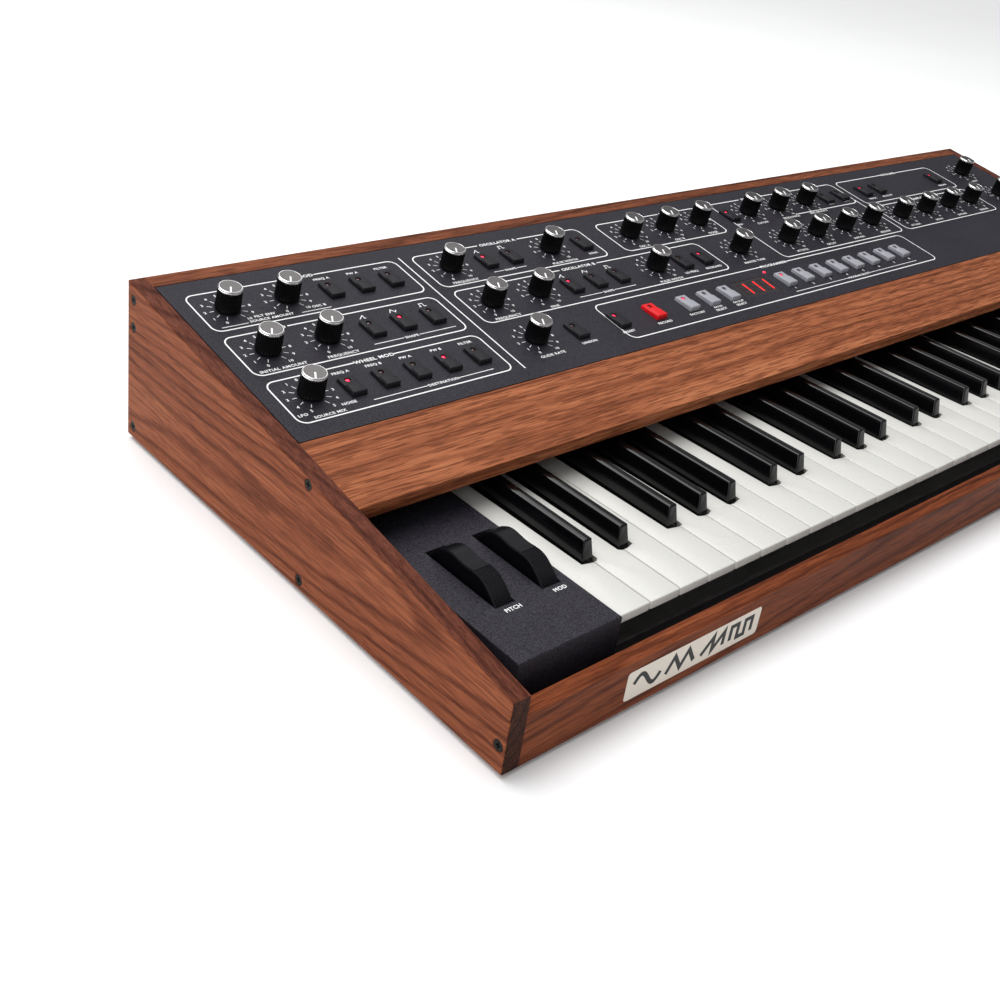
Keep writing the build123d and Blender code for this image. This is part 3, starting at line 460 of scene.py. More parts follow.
def inlay_mesh():
    bm = bmesh.new()
    profile = [
        (7.3, 14.25, False),
        (7.55, 14.4, False),
        (7.6, 14.6, False),
        (7.6, 15.05, False),
        (7.45, 15.15, False),
        (7.4, 15.3, False),
        (7.5, 15.4, False),
        (7.5, 15.75, False),
        (7.3, 16.0, False),
        (6.95, 16.2, False),
        (6.75, 16.2, False),
        (6.65, 16.1, False),
    ]
    rows = skin(bm, turned(profile, 96, 0.0))
    top = set(rows[-1])
    # Top faces take the darkened aluminium, a painted reflection; the rest take the bright rim metal
    for face in bm.faces:
        face.material_index = 1 if all(v in top for v in face.verts) else 0
    return mesh_of(bm, "knob_inlay", [ALUMINIUM_RIM, ALUMINIUM_TOP_DARKENED], 22)


def pointer_mesh():
    bm = bmesh.new()
    turn = Matrix.Rotation(POINTER_ANGLE, 4, "Z")
    half = 0.55
    prism(bm, [(-half, 0.7), (half, 0.7), (half, 6.8), (-half, 6.8)], 16.05, 16.28, turn)
    return mesh_of(bm, "knob_pointer", [POINTER_WHITE])


GRIP, INLAY, POINTER = grip_mesh(), inlay_mesh(), pointer_mesh()
knob_places = {}
for joint in frame["joints"]:
    if not joint["child"].startswith("knob_"):
        continue
    knob_node = joint["child"].removesuffix("_body")
    x, v, _ = on_panel(joint["pos_m"])
    knob_places[knob_node] = (x, v)
    place = at_panel(x, v)
    stand(f"{knob_node}_grip", GRIP, joint["child"], place, [knob_node])
    stand(f"{knob_node}_inlay", INLAY, joint["child"], place)
    stand(f"{knob_node}_pointer", POINTER, joint["child"], place)

# Push-button caps with their lamps ----------------------------------------------------------------
CAP_HALF = 5.1
CAP_LONG = 8.5
DECK = 2.2
CAP_HIGH = 3.5
CAP_LOW = -6.4
LENS_V = 5.0
LENS_RADIUS = 1.95
LENS_SIDES = 32


def cap_mesh(look, name):
    """A cap with a low rear deck that holds the lamp, and a raised block with slanting sides."""
    bm = bmesh.new()

    def vert(x, v, h):
        return bm.verts.new(Vector((x, v, h)) * MM)

    base = [vert(s * CAP_HALF, t * CAP_LONG, CAP_LOW) for s, t in ((-1, -1), (1, -1), (1, 1), (-1, 1))]
    front = [vert(s * CAP_HALF, -CAP_LONG, DECK) for s in (-1, 1)]
    middle = [vert(s * CAP_HALF, 1.0, DECK) for s in (-1, 1)]
    rear = [vert(s * CAP_HALF, CAP_LONG, DECK) for s in (-1, 1)]
    block_front = [vert(s * 4.7, -8.1, CAP_HIGH) for s in (-1, 1)]
    block_rear = [vert(s * 3.9, -0.3, CAP_HIGH - 0.05) for s in (-1, 1)]
    bm.faces.new(base[::-1])
    bm.faces.new((base[0], base[1], front[1], front[0]))
    bm.faces.new((base[1], base[2], rear[1], middle[1], front[1]))
    bm.faces.new((base[2], base[3], rear[0], rear[1]))
    bm.faces.new((base[3], base[0], front[0], middle[0], rear[0]))
    bm.faces.new((front[0], front[1], block_front[1], block_front[0]))
    bm.faces.new((front[1], middle[1], block_rear[1], block_front[1]))
    bm.faces.new((middle[1], middle[0], block_rear[0], block_rear[1]))
    bm.faces.new((middle[0], front[0], block_front[0], block_rear[0]))
    bm.faces.new((block_front[0], block_front[1], block_rear[1], block_rear[0]))
    round_edges = [e for e in bm.edges if any(v.co.z > 2.1 * MM for v in e.verts)]
    hole = [
        vert(LENS_RADIUS * cos(2 * pi * i / LENS_SIDES), LENS_V + LENS_RADIUS * sin(2 * pi * i / LENS_SIDES), DECK)
        for i in range(LENS_SIDES)
    ]
    corners = [(rear[1], 4), (rear[0], 12), (middle[0], 20), (middle[1], 28)]
    for (first, start), (second, stop) in zip(corners, corners[1:] + corners[:1]):
        stop = stop if stop > start else stop + LENS_SIDES
        inner = [hole[i % LENS_SIDES] for i in range(stop, start - 1, -1)]
        bm.faces.new([first, second] + inner)
    floor_ring = [bm.verts.new(v.co + Vector((0, 0, -1.1 * MM))) for v in hole]
    for i in range(LENS_SIDES):
        j = (i + 1) % LENS_SIDES
        bm.faces.new((hole[i], hole[j], floor_ring[j], floor_ring[i]))
    bm.faces.new(floor_ring)
    bmesh.ops.bevel(bm, geom=round_edges, offset=0.32 * MM, segments=2, profile=0.6, affect="EDGES")
    return mesh_of(bm, name, [look], 35)


def lens_mesh():
    """The domed lamp in its recess."""
    bm = bmesh.new()
    rings = []
    for radius, height in ((1.4, 1.12), (1.4, 1.4), (1.2, 1.68), (0.8, 1.84), (0.4, 1.9)):
        rings.append(
            [
                (radius * cos(2 * pi * i / 28), LENS_V + radius * sin(2 * pi * i / 28), height)
                for i in range(28)
            ]
        )
    skin(bm, rings)
    return mesh_of(bm, "lamp_lens", [LAMP_OFF], 60)


def islands(node_name):
    """The middle of each separate solid of a CAD node, in the panel's millimetres."""
    bm = bmesh.new()
    bm.from_mesh(nodes[node_name].data)
    bmesh.ops.remove_doubles(bm, verts=bm.verts, dist=1e-6)
    seen, middles = set(), []
    for start in bm.verts:
        if start in seen:
            continue
        group, todo = [], [start]
        seen.add(start)
        while todo:
            here = todo.pop()
            group.append(on_panel(here.co))
            for edge in here.link_edges:
                other = edge.other_vert(here)
                if other not in seen:
                    seen.add(other)
                    todo.append(other)
        low = [min(p[i] for p in group) for i in range(3)]
        high = [max(p[i] for p in group) for i in range(3)]
        middles.append([(low[i] + high[i]) / 2 for i in range(3)])
    bm.free()
    return sorted((round(m[0], 2), round(m[1], 2)) for m in middles)


CAPS = {
    "mod_switches": (cap_mesh(CAP_BLACK, "cap_black"), "black_plastic"),
    "program_switches": (cap_mesh(CAP_GREY, "cap_grey"), "grey_plastic"),
    "record_switch": (cap_mesh(CAP_RED, "cap_red"), "red_plastic"),
}
CAPS["voice_switches"] = CAPS["mod_switches"]
LENS_OFF = lens_mesh()
LENS_ON = LENS_OFF.copy()
LENS_ON.materials[0] = LAMP_ON
ROW_A, ROW_B, ROW_C = (knob_places[k][1] for k in ("knob_poly_mod_envelope", "knob_lfo_frequency", "knob_glide"))
LIT = {
    (140.5, ROW_B), (68.5, ROW_C), (140.5, ROW_C), (249.0, ROW_A), (292.0, ROW_B), (436.0, ROW_B),
    (293.5, ROW_C), (367.0, ROW_C), (486.0, ROW_C), (524.0, ROW_A), (726.0, ROW_A), (852.0, ROW_A),
}
cap_places = {}
for cap_node, (cap, cap_slot) in CAPS.items():
    for index, (x, v) in enumerate(islands(cap_node)):
        row = min((ROW_A, ROW_B, ROW_C), key=lambda r: abs(r - v))
        cap_places[cap_node, index] = (x, v)
        lit = any(abs(x - at) < 1.0 and row == lit_row for at, lit_row in LIT)
        body = f"{cap_node}_body"
        stand(f"{cap_node}_cap_{index}", cap, body, at_panel(x, v), [cap_node])
        stand(f"{cap_node}_lamp_{index}", LENS_ON if lit else LENS_OFF, body, at_panel(x, v))

# Performance wheels ---------------------------------------------------------------------------------
WHEEL_RADIUS = 34.5
FLANGE = 2.4
RIB_PITCH = radians(1.7)
DIP_MIDDLE, DIP_HALF, DIP_DEPTH = 88.0, 27.0, 3.2


def rim_radius(angle):
    """Rim of a wheel at an angle up from the player's side: a near ridge, a thumb dip, a far hump."""
    degrees_up = angle * 180 / pi
    across = (degrees_up - DIP_MIDDLE) / DIP_HALF
    dip = DIP_DEPTH * (0.5 + 0.5 * cos(pi * across)) if abs(across) < 1 else 0.0
    fall = 1.6 * max(0.0, (degrees_up - 126.0) / 30.0)
    return WHEEL_RADIUS - dip - min(fall, 1.6)


def wheel_mesh(name, half_width):
    bm = bmesh.new()
    steps = 636
    rings = []
    for i in range(steps + 1):
        angle = pi * i / steps
        outer = rim_radius(angle)
        rib = 0.0
        if radians(14.0) < angle < radians(76.0):
            rib = 0.26 * (0.5 - 0.5 * cos(2 * pi * angle / RIB_PITCH))
        inner = half_width - 0.8
        section = [
            (-inner, 9.5),
            (-inner, outer - FLANGE - 0.3),
            (-half_width, outer - FLANGE),
            (-half_width, outer - 0.7 - rib * 0.3),
            (-half_width + 0.6, outer - rib),
            (half_width - 0.6, outer - rib),
            (half_width, outer - 0.7 - rib * 0.3),
            (half_width, outer - FLANGE),
            (inner, outer - FLANGE - 0.3),
            (inner, 9.5),
        ]
        rings.append([(x, -r * cos(angle), r * sin(angle)) for x, r in section])
    skin(bm, rings)
    rings = []
    for x in (-half_width, half_width):
        rings.append([(x, 9.6 * cos(2 * pi * i / 40), 9.6 * sin(2 * pi * i / 40)) for i in range(40)])
    skin(bm, rings)
    return mesh_of(bm, name, [WHEEL_BLACK], 38)


for wheel_node in ("pitch_wheel", "mod_wheel"):
    low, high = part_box(wheel_node)
    axle = Vector(next(j for j in frame["joints"] if j["child"] == f"{wheel_node}_body")["pos_m"])
    place = Matrix.Translation(((low.x + high.x) / 2, axle.y, axle.z))
    mesh = wheel_mesh(f"{wheel_node}_rim", (high.x - low.x) / 2 / MM)
    stand(f"{wheel_node}_rim", mesh, f"{wheel_node}_body", place, [wheel_node])

# Keys --------------------------------------------------------------------------------------------------
odd_low, odd_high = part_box("keys_natural_odd")
even_low, even_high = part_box("keys_natural_even")
sharp_low, sharp_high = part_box("keys_sharp")
WHITE_COUNT = 36
KEY_GAP = 0.6
KEYS_LEFT = odd_low.x / MM - KEY_GAP / 2
PITCH = (even_high.x / MM + KEY_GAP / 2 - KEYS_LEFT) / WHITE_COUNT
KEY_FRONT = odd_low.y / MM
KEY_BACK = odd_high.y / MM
KEY_TOP = odd_high.z / MM
KEY_BOTTOM = odd_low.z / MM
LIP = 5.0
SLOT = 14.0
SHARP_FRONT = sharp_low.y / MM
SHARP_TOP = sharp_high.z / MM
lower_tail = (3 * PITCH - 2 * SLOT) / 3
upper_tail = (4 * PITCH - 3 * SLOT) / 4
SHARP_CENTRES = (
    lower_tail + SLOT / 2,
    2 * lower_tail + 1.5 * SLOT,
    3 * PITCH + upper_tail + SLOT / 2,
    3 * PITCH + 2 * upper_tail + 1.5 * SLOT,
    3 * PITCH + 3 * upper_tail + 2.5 * SLOT,
)


def bevel_top(bm, top, width, extra=()):
    """Rounds the edges of a top face, and any more edges given."""
    edges = edges_between(bm, top) + list(extra)
    bmesh.ops.bevel(bm, geom=edges, offset=width * MM, segments=3, profile=0.55, affect="EDGES")


def natural(index):
    """One white key: its outline follows the black keys on both sides."""
    octave, _ = divmod(index, 7)
    start = octave * 7 * PITCH
    left = index * PITCH + KEY_GAP / 2
    right = left + PITCH - KEY_GAP
    tail_left, tail_right = left, right
    if index < WHITE_COUNT - 1:
        for centre in SHARP_CENTRES:
            low, high = start + centre - SLOT / 2, start + centre + SLOT / 2
            if low < tail_left < high:
                tail_left = high
            if low < tail_right < high:
                tail_right = low
    shoulder = SHARP_FRONT - 1.2
    outline = [(left, KEY_FRONT), (right, KEY_FRONT)]
    outline += [(right, shoulder), (tail_right, shoulder)] if tail_right < right else []
    outline += [(tail_right, KEY_BACK), (tail_left, KEY_BACK)]
    outline += [(tail_left, shoulder), (left, shoulder)] if tail_left > left else []
    outline = [(KEYS_LEFT + x, y) for x, y in outline]
    bm = bmesh.new()
    bottom, top = prism(bm, outline, KEY_TOP - LIP, KEY_TOP)
    corners = edges_between(bm, [bottom[0], top[0]]) + edges_between(bm, [bottom[1], top[1]])
    bevel_top(bm, top, 0.95, corners)
    middle = KEYS_LEFT + (tail_left + tail_right) / 2
    stem = [(middle - 4.5, KEY_FRONT + 20), (middle + 4.5, KEY_FRONT + 20), (middle + 4.5, KEY_BACK), (middle - 4.5, KEY_BACK)]
    prism(bm, stem, KEY_BOTTOM, KEY_TOP - LIP)
    return bm


def sharp(centre):
    """One black key: sloping front and sides, with a bevel round its top."""
    bm = bmesh.new()
    back = KEY_FRONT + 138.0
    base = KEY_TOP - LIP
    wide, narrow = 4.85, 3.05
    x = KEYS_LEFT + centre
    rings = [
        [(x - wide, SHARP_FRONT, base), (x + wide, SHARP_FRONT, base), (x + wide, back, base), (x - wide, back, base)],
        [
            (x - narrow, SHARP_FRONT + 3.4, SHARP_TOP),
            (x + narrow, SHARP_FRONT + 3.4, SHARP_TOP),
            (x + narrow, back, SHARP_TOP),
            (x - narrow, back, SHARP_TOP),
        ],
    ]
    rows = skin(bm, rings)
    front = [e for e in bm.edges if any(v in rows[0][:2] for v in e.verts) and any(v in rows[1][:2] for v in e.verts)]
    edges = [e for e in edges_between(bm, rows[1]) if any(v in rows[1][:2] for v in e.verts)] + front
    bmesh.ops.bevel(bm, geom=edges, offset=0.95 * MM, segments=3, profile=0.5, affect="EDGES")
    stem_front, stem_back = SHARP_FRONT + 4.0, KEY_BACK
    stem = [(x - 4, stem_front), (x + 4, stem_front), (x + 4, stem_back), (x - 4, stem_back)]
    prism(bm, stem, KEY_BOTTOM, base)
    return bm


def gather(parts):
    """Joins several bmeshes into one."""
    whole = bmesh.new()
    for part in parts:
        carrier = bpy.data.meshes.new("carrier")
        part.to_mesh(carrier)
        part.free()
        whole.from_mesh(carrier)
        bpy.data.meshes.remove(carrier)
    return whole


odd_keys = gather(natural(i) for i in range(0, WHITE_COUNT, 2))
even_keys = gather(natural(i) for i in range(1, WHITE_COUNT, 2))
sharp_keys = gather(sharp(octave * 7 * PITCH + c) for octave in range(5) for c in SHARP_CENTRES)
for key_node, keys, look, key_slot in (
    ("keys_natural_odd", odd_keys, IVORY, "ivory_plastic"),
    ("keys_natural_even", even_keys, IVORY, "ivory_plastic"),
    ("keys_sharp", sharp_keys, EBONY, "ebony_plastic"),
):
    stand(f"{key_node}_set", mesh_of(keys, f"{key_node}_set", [look]), f"{key_node}_body", None, [key_node])

# Printing ------------------------------------------------------------------------------------------------
INK_LOW, INK_HIGH = 0.0, 0.06


def stroke(bm, points, width, matrix=PANEL, closed=False):
    """A printed line of even width along points, as a very thin solid."""
    pts = [Vector(p) for p in points]
    count = len(pts)
    left, right = [], []
    for i, here in enumerate(pts):
        before = pts[i - 1] if i > 0 or closed else None
        after = pts[(i + 1) % count] if i < count - 1 or closed else None
        into = (here - before).normalized() if before is not None else (after - here).normalized()
        out = (after - here).normalized() if after is not None else into
        bisector = (into + out).normalized()
        normal = Vector((-bisector.y, bisector.x))
        reach = width / 2 / max(0.35, normal.dot(Vector((-into.y, into.x))))
        left.append(here + normal * reach)
        right.append(here - normal * reach)

    def corners(place):
        flat = [(left[place], INK_HIGH), (right[place], INK_HIGH), (right[place], INK_LOW), (left[place], INK_LOW)]
        return [bm.verts.new(matrix @ (Vector((p.x, p.y, h)) * MM)) for p, h in flat]

    rows = [corners(i) for i in range(count)]
    pairs = list(zip(rows, rows[1:])) + ([(rows[-1], rows[0])] if closed else [])
    for near, far in pairs:
        for i in range(4):
            bm.faces.new((near[i], near[(i + 1) % 4], far[(i + 1) % 4], far[i]))
    if not closed:
        bm.faces.new(rows[0])
        bm.faces.new(rows[-1])


def rounded(x_low, v_low, x_high, v_high, radius=6.0, gap=None):
    """Points round a rounded rectangle; with a gap, it starts and ends at the gap in its top line."""
    points = []
    for cx, cv, start in (
        (x_low + radius, v_high - radius, 90),
        (x_low + radius, v_low + radius, 180),
        (x_high - radius, v_low + radius, 270),
        (x_high - radius, v_high - radius, 0),
    ):
        for k in range(9):
            angle = radians(start + 90 * k / 8)
            points.append((cx + radius * cos(angle), cv + radius * sin(angle)))
    if gap:
        points = [(gap[0], v_high)] + points + [(gap[1], v_high)]
    return points


glyphs = {}


def word_mesh(text, bold):
    """The solid mesh of a word, one unit tall, in the built-in font."""
    key = (text, bold)
    if key not in glyphs:
        curve = bpy.data.curves.new("word", "FONT")
        curve.body = text
        curve.size = 1.37
        curve.offset = bold
        curve.extrude = 0.5
        curve.resolution_u = 3
        curve.align_x = "CENTER"
        curve.space_character = 1.08
        holder = bpy.data.objects.new("word", curve)
        bpy.context.scene.collection.objects.link(holder)
        bpy.context.view_layer.update()
        glyphs[key] = bpy.data.meshes.new_from_object(holder.evaluated_get(bpy.context.evaluated_depsgraph_get()))
        bpy.data.objects.remove(holder)
        bpy.data.curves.remove(curve)
    return glyphs[key]


def write(bm, text, x, v, height=2.4, matrix=PANEL, wide=1.15, bold=0.03, align=0.0):
    """Prints a word with its middle at x and its baseline half a letter below v."""
    mesh = word_mesh(text, bold)
    span = max(p.co.x for p in mesh.vertices) * 2 * height * wide
    offset = Matrix.Translation(Vector((x + align * span / 2, v - height / 2, (INK_LOW + INK_HIGH) / 2)) * MM)
    size = Matrix.Diagonal((height * wide * MM, height * MM, (INK_HIGH - INK_LOW) * MM, 1.0))
    first = len(bm.verts)
    bm.from_mesh(mesh)
    bm.verts.ensure_lookup_table()
    for vert in bm.verts[first:]:
        vert.co = matrix @ offset @ size @ vert.co


def print_piece(bm, name, look=WHITE_INK):
    """Stands printing on the case."""
    mesh = bpy.data.meshes.new(name)
    bm.to_mesh(mesh)
    bm.free()
    mesh.materials.append(look)
    return stand(name, mesh, CASE)


LINE = 0.95
THIN = 0.55
BOXES = [
    # x low, v low, x high, v high, title, title middle
    (22.0, 302.5, 181.0, 342.5, "POLY MOD", 103.0),
    (21.5, 255.5, 180.0, 295.5, "LFO", 61.0),
    (21.5, 208.5, 179.5, 248.5, "WHEEL MOD", 98.9),
    (195.5, 302.0, 358.0, 342.5, "OSCILLATOR A", 277.0),
    (196.7, 256.0, 451.0, 296.0, "OSCILLATOR B", 318.0),
    (378.0, 302.0, 501.0, 342.6, "MIXER", 463.0),
    (288.5, 207.3, 684.0, 249.5, "PROGRAMMER", 497.0),
    (519.7, 254.0, 699.0, 343.0, "FILTER", 572.0),
    (707.0, 254.0, 872.0, 296.0, "AMPLIFIER", 789.0),
    (707.0, 302.0, 872.0, 343.0, "KEYBOARD", 800.0),
]
outlines = bmesh.new()
words = bmesh.new()
for x_low, v_low, x_high, v_high, title, middle in BOXES:
    half = 0.5 * len(title) * 3.0 + 1.4
    stroke(outlines, rounded(x_low, v_low, x_high, v_high, 6.0, (middle - half, middle + half)), LINE)
    write(words, title, middle, v_high, 2.9, wide=1.2, bold=0.035)
stroke(outlines, [(187.2, 344.4), (187.2, 206.7)], LINE)
stroke(outlines, [(601.0, 307.5), (693.0, 307.5), (697.5, 309.5), (699.0, 313.0)], LINE)

scales = bmesh.new()
DIGIT_RADIUS = 15.2
for knob_name, (x, v) in knob_places.items():
    centre_zero = knob_name in ("knob_wheel_mod_mix", "knob_master_tune", "knob_filter_envelope_amount")
    for mark in range(11):
        angle = radians(-150 + 30 * mark)
        dx, dv = sin(angle), cos(angle)
        stroke(scales, [(x + 9.1 * dx, v + 9.1 * dv), (x + 12.2 * dx, v + 12.2 * dv)], 0.42)
        label = str(abs(mark - 5)) if centre_zero else str(mark)
        write(scales, label, x + DIGIT_RADIUS * dx, v + DIGIT_RADIUS * dv, 2.2, wide=1.15)

KNOB_WORDS = {
    "knob_poly_mod_envelope": "",
    "knob_poly_mod_oscillator": "",
    "knob_lfo_initial_amount": "INITIAL AMOUNT",
    "knob_lfo_frequency": "FREQUENCY",
    "knob_wheel_mod_mix": "",
    "knob_oscillator_a_frequency": "FREQUENCY",
    "knob_oscillator_a_pulse_width": "PULSE WIDTH",
    "knob_oscillator_b_frequency": "FREQUENCY",
    "knob_oscillator_b_fine": "FINE",
    "knob_oscillator_b_pulse_width": "PULSE WIDTH",
    "knob_glide": "GLIDE RATE",
    "knob_mixer_oscillator_a": "OSC A",
    "knob_mixer_oscillator_b": "OSC B",
    "knob_mixer_noise": "NOISE",
    "knob_master_tune": "MASTER TUNE",
    "knob_filter_cutoff": "CUTOFF",
    "knob_filter_resonance": "RESONANCE",
    "knob_filter_envelope_amount": "ENV AMOUNT",
    "knob_vintage": "DRIFT",
    "knob_volume": "VOLUME",
}
for knob_name, (x, v) in knob_places.items():
    text = KNOB_WORDS.get(knob_name, knob_name.rsplit("_", 1)[1].upper())
    if text:
        write(words, text, x, v - 17.9)
for text, x, v in (
    ("FILT ENV", 60.0, 310.5), ("SOURCE AMOUNT", 63.0, 306.6), ("OSC B", 99.0, 309.4),
    ("LFO", 27.0, 215.6), ("SOURCE MIX", 42.5, 211.4), ("NOISE", 58.5, 216.2),
    ("FREQ A", 118.3, 336.6), ("PW A", 142.8, 336.6), ("FILTER", 166.1, 336.6),
    ("FREQ A", 70.3, 243.2), ("FREQ B", 94.3, 243.2), ("PW A", 118.3, 243.2), ("PW B", 142.3, 243.2),
    ("FILTER", 166.1, 243.2), ("SYNC", 346.0, 308.6), ("LO FREQ", 410.0, 262.4), ("KEYBOARD", 436.5, 262.4),
    ("UNISON", 253.5, 215.4), ("PRESET", 292.5, 215.6), ("RECORD", 330.0, 215.6), ("FACTORY", 366.0, 216.2),
    ("BANK", 391.0, 217.6), ("SELECT", 391.0, 214.0), ("GROUP", 414.8, 217.6), ("SELECT", 414.8, 214.0),
    ("ENV", 524.0, 308.6), ("HALF", 663.0, 313.0), ("FULL", 687.0, 313.0), ("TRACK", 726.0, 309.0),
    ("VELOCITY", 751.0, 309.0), ("RELEASE", 852.0, 309.0), ("DOWN", 852.0, 215.6), ("UP", 876.0, 215.6),
    ("TUNE", 911.0, 215.6),
):
    write(words, text, x, v, 2.2)
for text, x_low, x_high, v, middle in (
    ("SHAPE", 108.0, 173.0, 260.9, 137.0), ("DESTINATION", 74.0, 166.0, 213.4, 126.0),
    ("SHAPE", 246.0, 277.0, 308.6, 261.5), ("SHAPE", 288.0, 346.0, 261.8, 317.0),
    ("PROGRAM SELECT", 481.0, 656.0, 211.8, 568.0), ("", 28.0, 46.0, 305.6, 0.0),
    ("", 84.0, 106.0, 305.6, 0.0), ("TRANSPOSE", 846.0, 882.0, 211.6, 864.0),
):
    half = len(text) * 1.02 + 1.0
    if text:
        write(words, text, middle, v, 2.2)
        stroke(words, [(x_low, v), (middle - half, v)], THIN)
        stroke(words, [(middle + half, v), (x_high, v)], THIN)
    else:
        stroke(words, [(x_low, v), (x_high, v)], THIN)
for number in range(8):
    write(words, str(number + 1), 486.0 + 23.6 * number, 216.6)

# Waveform signs over the shape buttons
WAVES = {
    "saw": [(-2.4, -1.6), (1.2, 1.6), (1.2, -1.6), (2.4, -1.6)],
    "triangle": [(-2.8, -1.6), (-0.7, 1.6), (1.6, -1.6), (2.9, 0.4)],
    "square": [(-3.0, -1.6), (-1.6, -1.6), (-1.6, 1.6), (1.2, 1.6), (1.2, -1.6), (3.0, -1.6)],
}
for sign, x, v in (
    ("saw", 118.0, 289.2), ("triangle", 142.0, 289.2), ("square", 166.0, 289.2),
    ("saw", 250.5, 336.0), ("square", 274.5, 336.0),
    ("saw", 293.5, 289.2), ("triangle", 317.5, 289.2), ("square", 341.5, 289.2),
):
    stroke(words, [(x + a, v + b) for a, b in WAVES[sign]], 0.6)

print_piece(outlines, "panel_outlines")
print_piece(words, "panel_words")
print_piece(scales, "dial_scales")

# Words on the wheel box
box_low, box_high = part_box("wheel_box")
BOX_TOP = Matrix.Translation((cad_low.x, cad_low.y, box_high.z))
box_words = bmesh.new()
for text, x in (("PITCH", 47.6), ("MOD", 80.0)):
    write(box_words, text, x, 53.0, 2.8, BOX_TOP, wide=0.95)
print_piece(box_words, "wheel_words")

# Display: three digits of which only the right-hand strokes are lit, and a small lamp
DIGITS = (440.3, 453.0, 465.5)
lit_segments = bmesh.new()
dark_segments = bmesh.new()
window_place = PANEL @ Matrix.Translation((0, 0, -0.18 * MM))
DIGIT_LOW, DIGIT_HIGH = 221.9, 235.4
digit_middle = (DIGIT_LOW + DIGIT_HIGH) / 2
for x in DIGITS:
    for low, high in ((DIGIT_LOW, digit_middle - 0.35), (digit_middle + 0.35, DIGIT_HIGH)):
        lean = 0.05
        stroke(
            lit_segments,
            [(x + (low - digit_middle) * lean, low), (x + (high - digit_middle) * lean, high)],
            1.25,
            window_place,
        )
        stroke(
            dark_segments,
            [(x - 7.2 + (low - digit_middle) * lean, low), (x - 7.2 + (high - digit_middle) * lean, high)],
            1.0,
            window_place,
        )
    for v in (DIGIT_LOW + 0.2, digit_middle, DIGIT_HIGH - 0.2):
        stroke(dark_segments, [(x - 6.4, v), (x - 1.0, v)], 1.0, window_place)
stand("display_lit", mesh_of(lit_segments, "display_lit", [SEGMENT_ON]), CASE)
stand("display_dark", mesh_of(dark_segments, "display_dark", [SEGMENT_OFF]), CASE)
small = LENS_ON.copy()
stand("display_lamp", small, CASE, at_panel(476.4, 242.3 - LENS_V, -1.1))

# Plate let into the front rail, with waveforms instead of a name
plate_low, plate_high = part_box("name_plate")
FACE = Matrix.Translation(((plate_low.x + plate_high.x) / 2, plate_low.y + 0.06 * MM, (plate_low.z + plate_high.z) / 2))
FACE = FACE @ Matrix.Rotation(radians(90), 4, "X")
half_x = (plate_high.x - plate_low.x) / 2 / MM - 0.05
half_z = (plate_high.z - plate_low.z) / 2 / MM - 0.05
plate = bmesh.new()
outline = rounded(-half_x, -half_z, half_x, half_z, 2.2)
bottom, top = prism(plate, outline, -0.5, 0.0, FACE)
bmesh.ops.bevel(plate, geom=edges_between(plate, top), offset=0.12 * MM, segments=2, affect="EDGES")
stand("wave_plate", mesh_of(plate, "wave_plate", [CREAM]), CASE, None, ["name_plate"])
signs = bmesh.new()
sine = [(-10.0 + 20.0 * k / 40, 4.6 * sin(2 * pi * k / 40)) for k in range(41)]
stroke(signs, [(x - 38.0, z) for x, z in sine], 2.7, FACE)
stroke(signs, [(-23, -4.6), (-17.5, 4.6), (-12, -4.6), (-6.5, 4.6), (-1, -4.6)], 2.7, FACE)
stroke(signs, [(5, -4.6), (14, 4.6), (14, -4.6), (23, 4.6), (23, -4.6)], 2.7, FACE)
stroke(signs, [(29, -4.6), (29, 4.6), (35, 4.6), (35, -4.6), (41, -4.6), (41, 4.6), (47, 4.6), (47, -4.6)], 2.7, FACE)
print_piece(signs, "wave_signs", DARK_INK)

# Words beside the rear connectors
rear_low, rear_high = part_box("rear_panel")
REAR = Matrix.Translation((0, rear_high.y, 0)) @ Matrix.Rotation(radians(180), 4, "Z") @ Matrix.Rotation(radians(90), 4, "X")
rear_words = bmesh.new()
for text, x in (
    ("SUSTAIN", -300), ("PEDAL", -272), ("GATE", -244), ("PHONES", -200), ("RIGHT", -172), ("LEFT", -144),
    ("MIDI IN", -90), ("MIDI OUT", -62), ("MIDI THRU", -34), ("POWER", 392),
):
    write(rear_words, text, -x, 52.5, 2.2, REAR)
print_piece(rear_words, "rear_words")

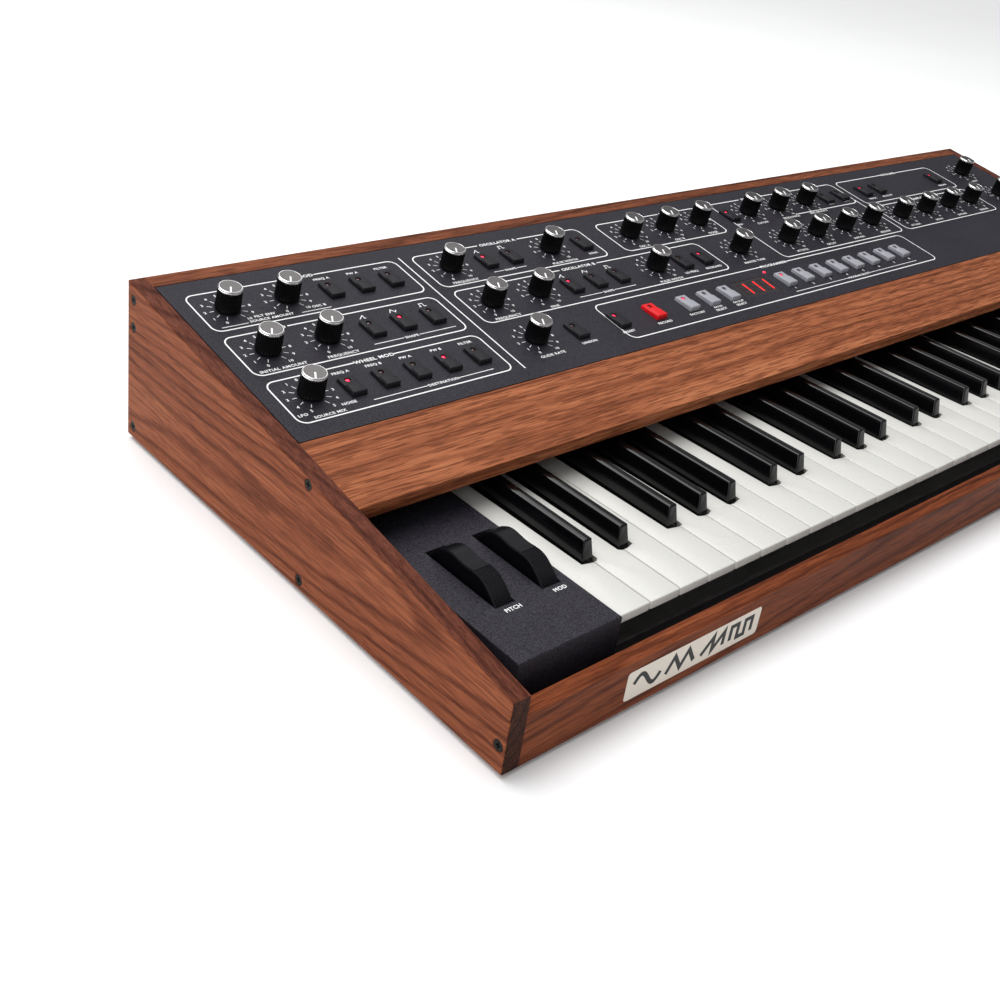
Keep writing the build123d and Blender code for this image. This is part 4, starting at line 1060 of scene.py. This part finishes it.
# Stage, light and camera ----------------------------------------------------------------------------------
floor_mesh = bpy.data.meshes.new("floor")
floor_build = bmesh.new()
bmesh.ops.create_grid(floor_build, x_segments=4, y_segments=4, size=14.0)
floor_build.to_mesh(floor_mesh)
floor_build.free()
paper = Shader("paper_floor", Specular_IOR_Level=0.2)
paper_tone = paper.noise(paper.coordinates, 3.0, 3.0)
paper.feed("Base Color", paper.ramp(paper_tone, (0.3, (0.955, 0.955, 0.955, 1)), (0.7, (0.975, 0.975, 0.975, 1))))
paper.feed("Roughness", paper.math("ADD", paper.math("MULTIPLY", paper_tone, 0.1), 0.75))
floor_mesh.materials.append(paper.material)
floor = bpy.data.objects.new("floor", floor_mesh)
bpy.context.scene.collection.objects.link(floor)

world = bpy.data.worlds.new("studio")
bpy.context.scene.world = world
world.use_nodes = True
world.node_tree.nodes["Background"].inputs["Color"].default_value = (0.97, 0.98, 1.0, 1.0)
world.node_tree.nodes["Background"].inputs["Strength"].default_value = 0.28


def soft_light(name, size, power, place, target):
    data = bpy.data.lights.new(name, "AREA")
    data.shape = "RECTANGLE"
    data.size, data.size_y = size
    data.energy = power
    lamp = bpy.data.objects.new(name, data)
    bpy.context.scene.collection.objects.link(lamp)
    lamp.location = place
    lamp.rotation_mode = "QUATERNION"
    lamp.rotation_quaternion = (Vector(target) - Vector(place)).to_track_quat("-Z", "Y")


soft_light("overhead", (2.4, 1.6), 22.0, (-0.2, 0.7, 1.5), (-0.2, 0.05, 0.0))
soft_light("left_front", (1.4, 1.4), 11.0, (-1.9, -0.7, 0.8), (-0.4, 0.0, 0.05))
sky_data = bpy.data.lights.new("sky", "SUN")
sky_data.energy = 1.7
sky_data.angle = radians(60.0)
sky = bpy.data.objects.new("sky", sky_data)
bpy.context.scene.collection.objects.link(sky)
sky.rotation_euler = (radians(-14.0), radians(-10.0), 0.0)

YAW, PITCH_DOWN, ROLL = radians(45.39), radians(26.58), radians(8.66)
forward = Vector((sin(YAW) * cos(PITCH_DOWN), cos(YAW) * cos(PITCH_DOWN), -sin(PITCH_DOWN)))
level = Vector((cos(YAW), -sin(YAW), 0.0))
above = level.cross(forward)
right = cos(ROLL) * level + sin(ROLL) * above
up = right.cross(forward)
camera_data = bpy.data.cameras.new("camera")
camera_data.sensor_width = 36.0
camera_data.lens = 45.43
camera_data.shift_y = -0.1
camera_data.clip_start = 0.01
camera = bpy.data.objects.new("camera", camera_data)
bpy.context.scene.collection.objects.link(camera)
turn = Matrix((right, up, -forward)).transposed().to_4x4()
camera.matrix_world = Matrix.Translation((-0.8153, -0.4739, 0.4154)) @ turn
bpy.context.scene.camera = camera
bpy.context.scene.view_settings.view_transform = "Standard"
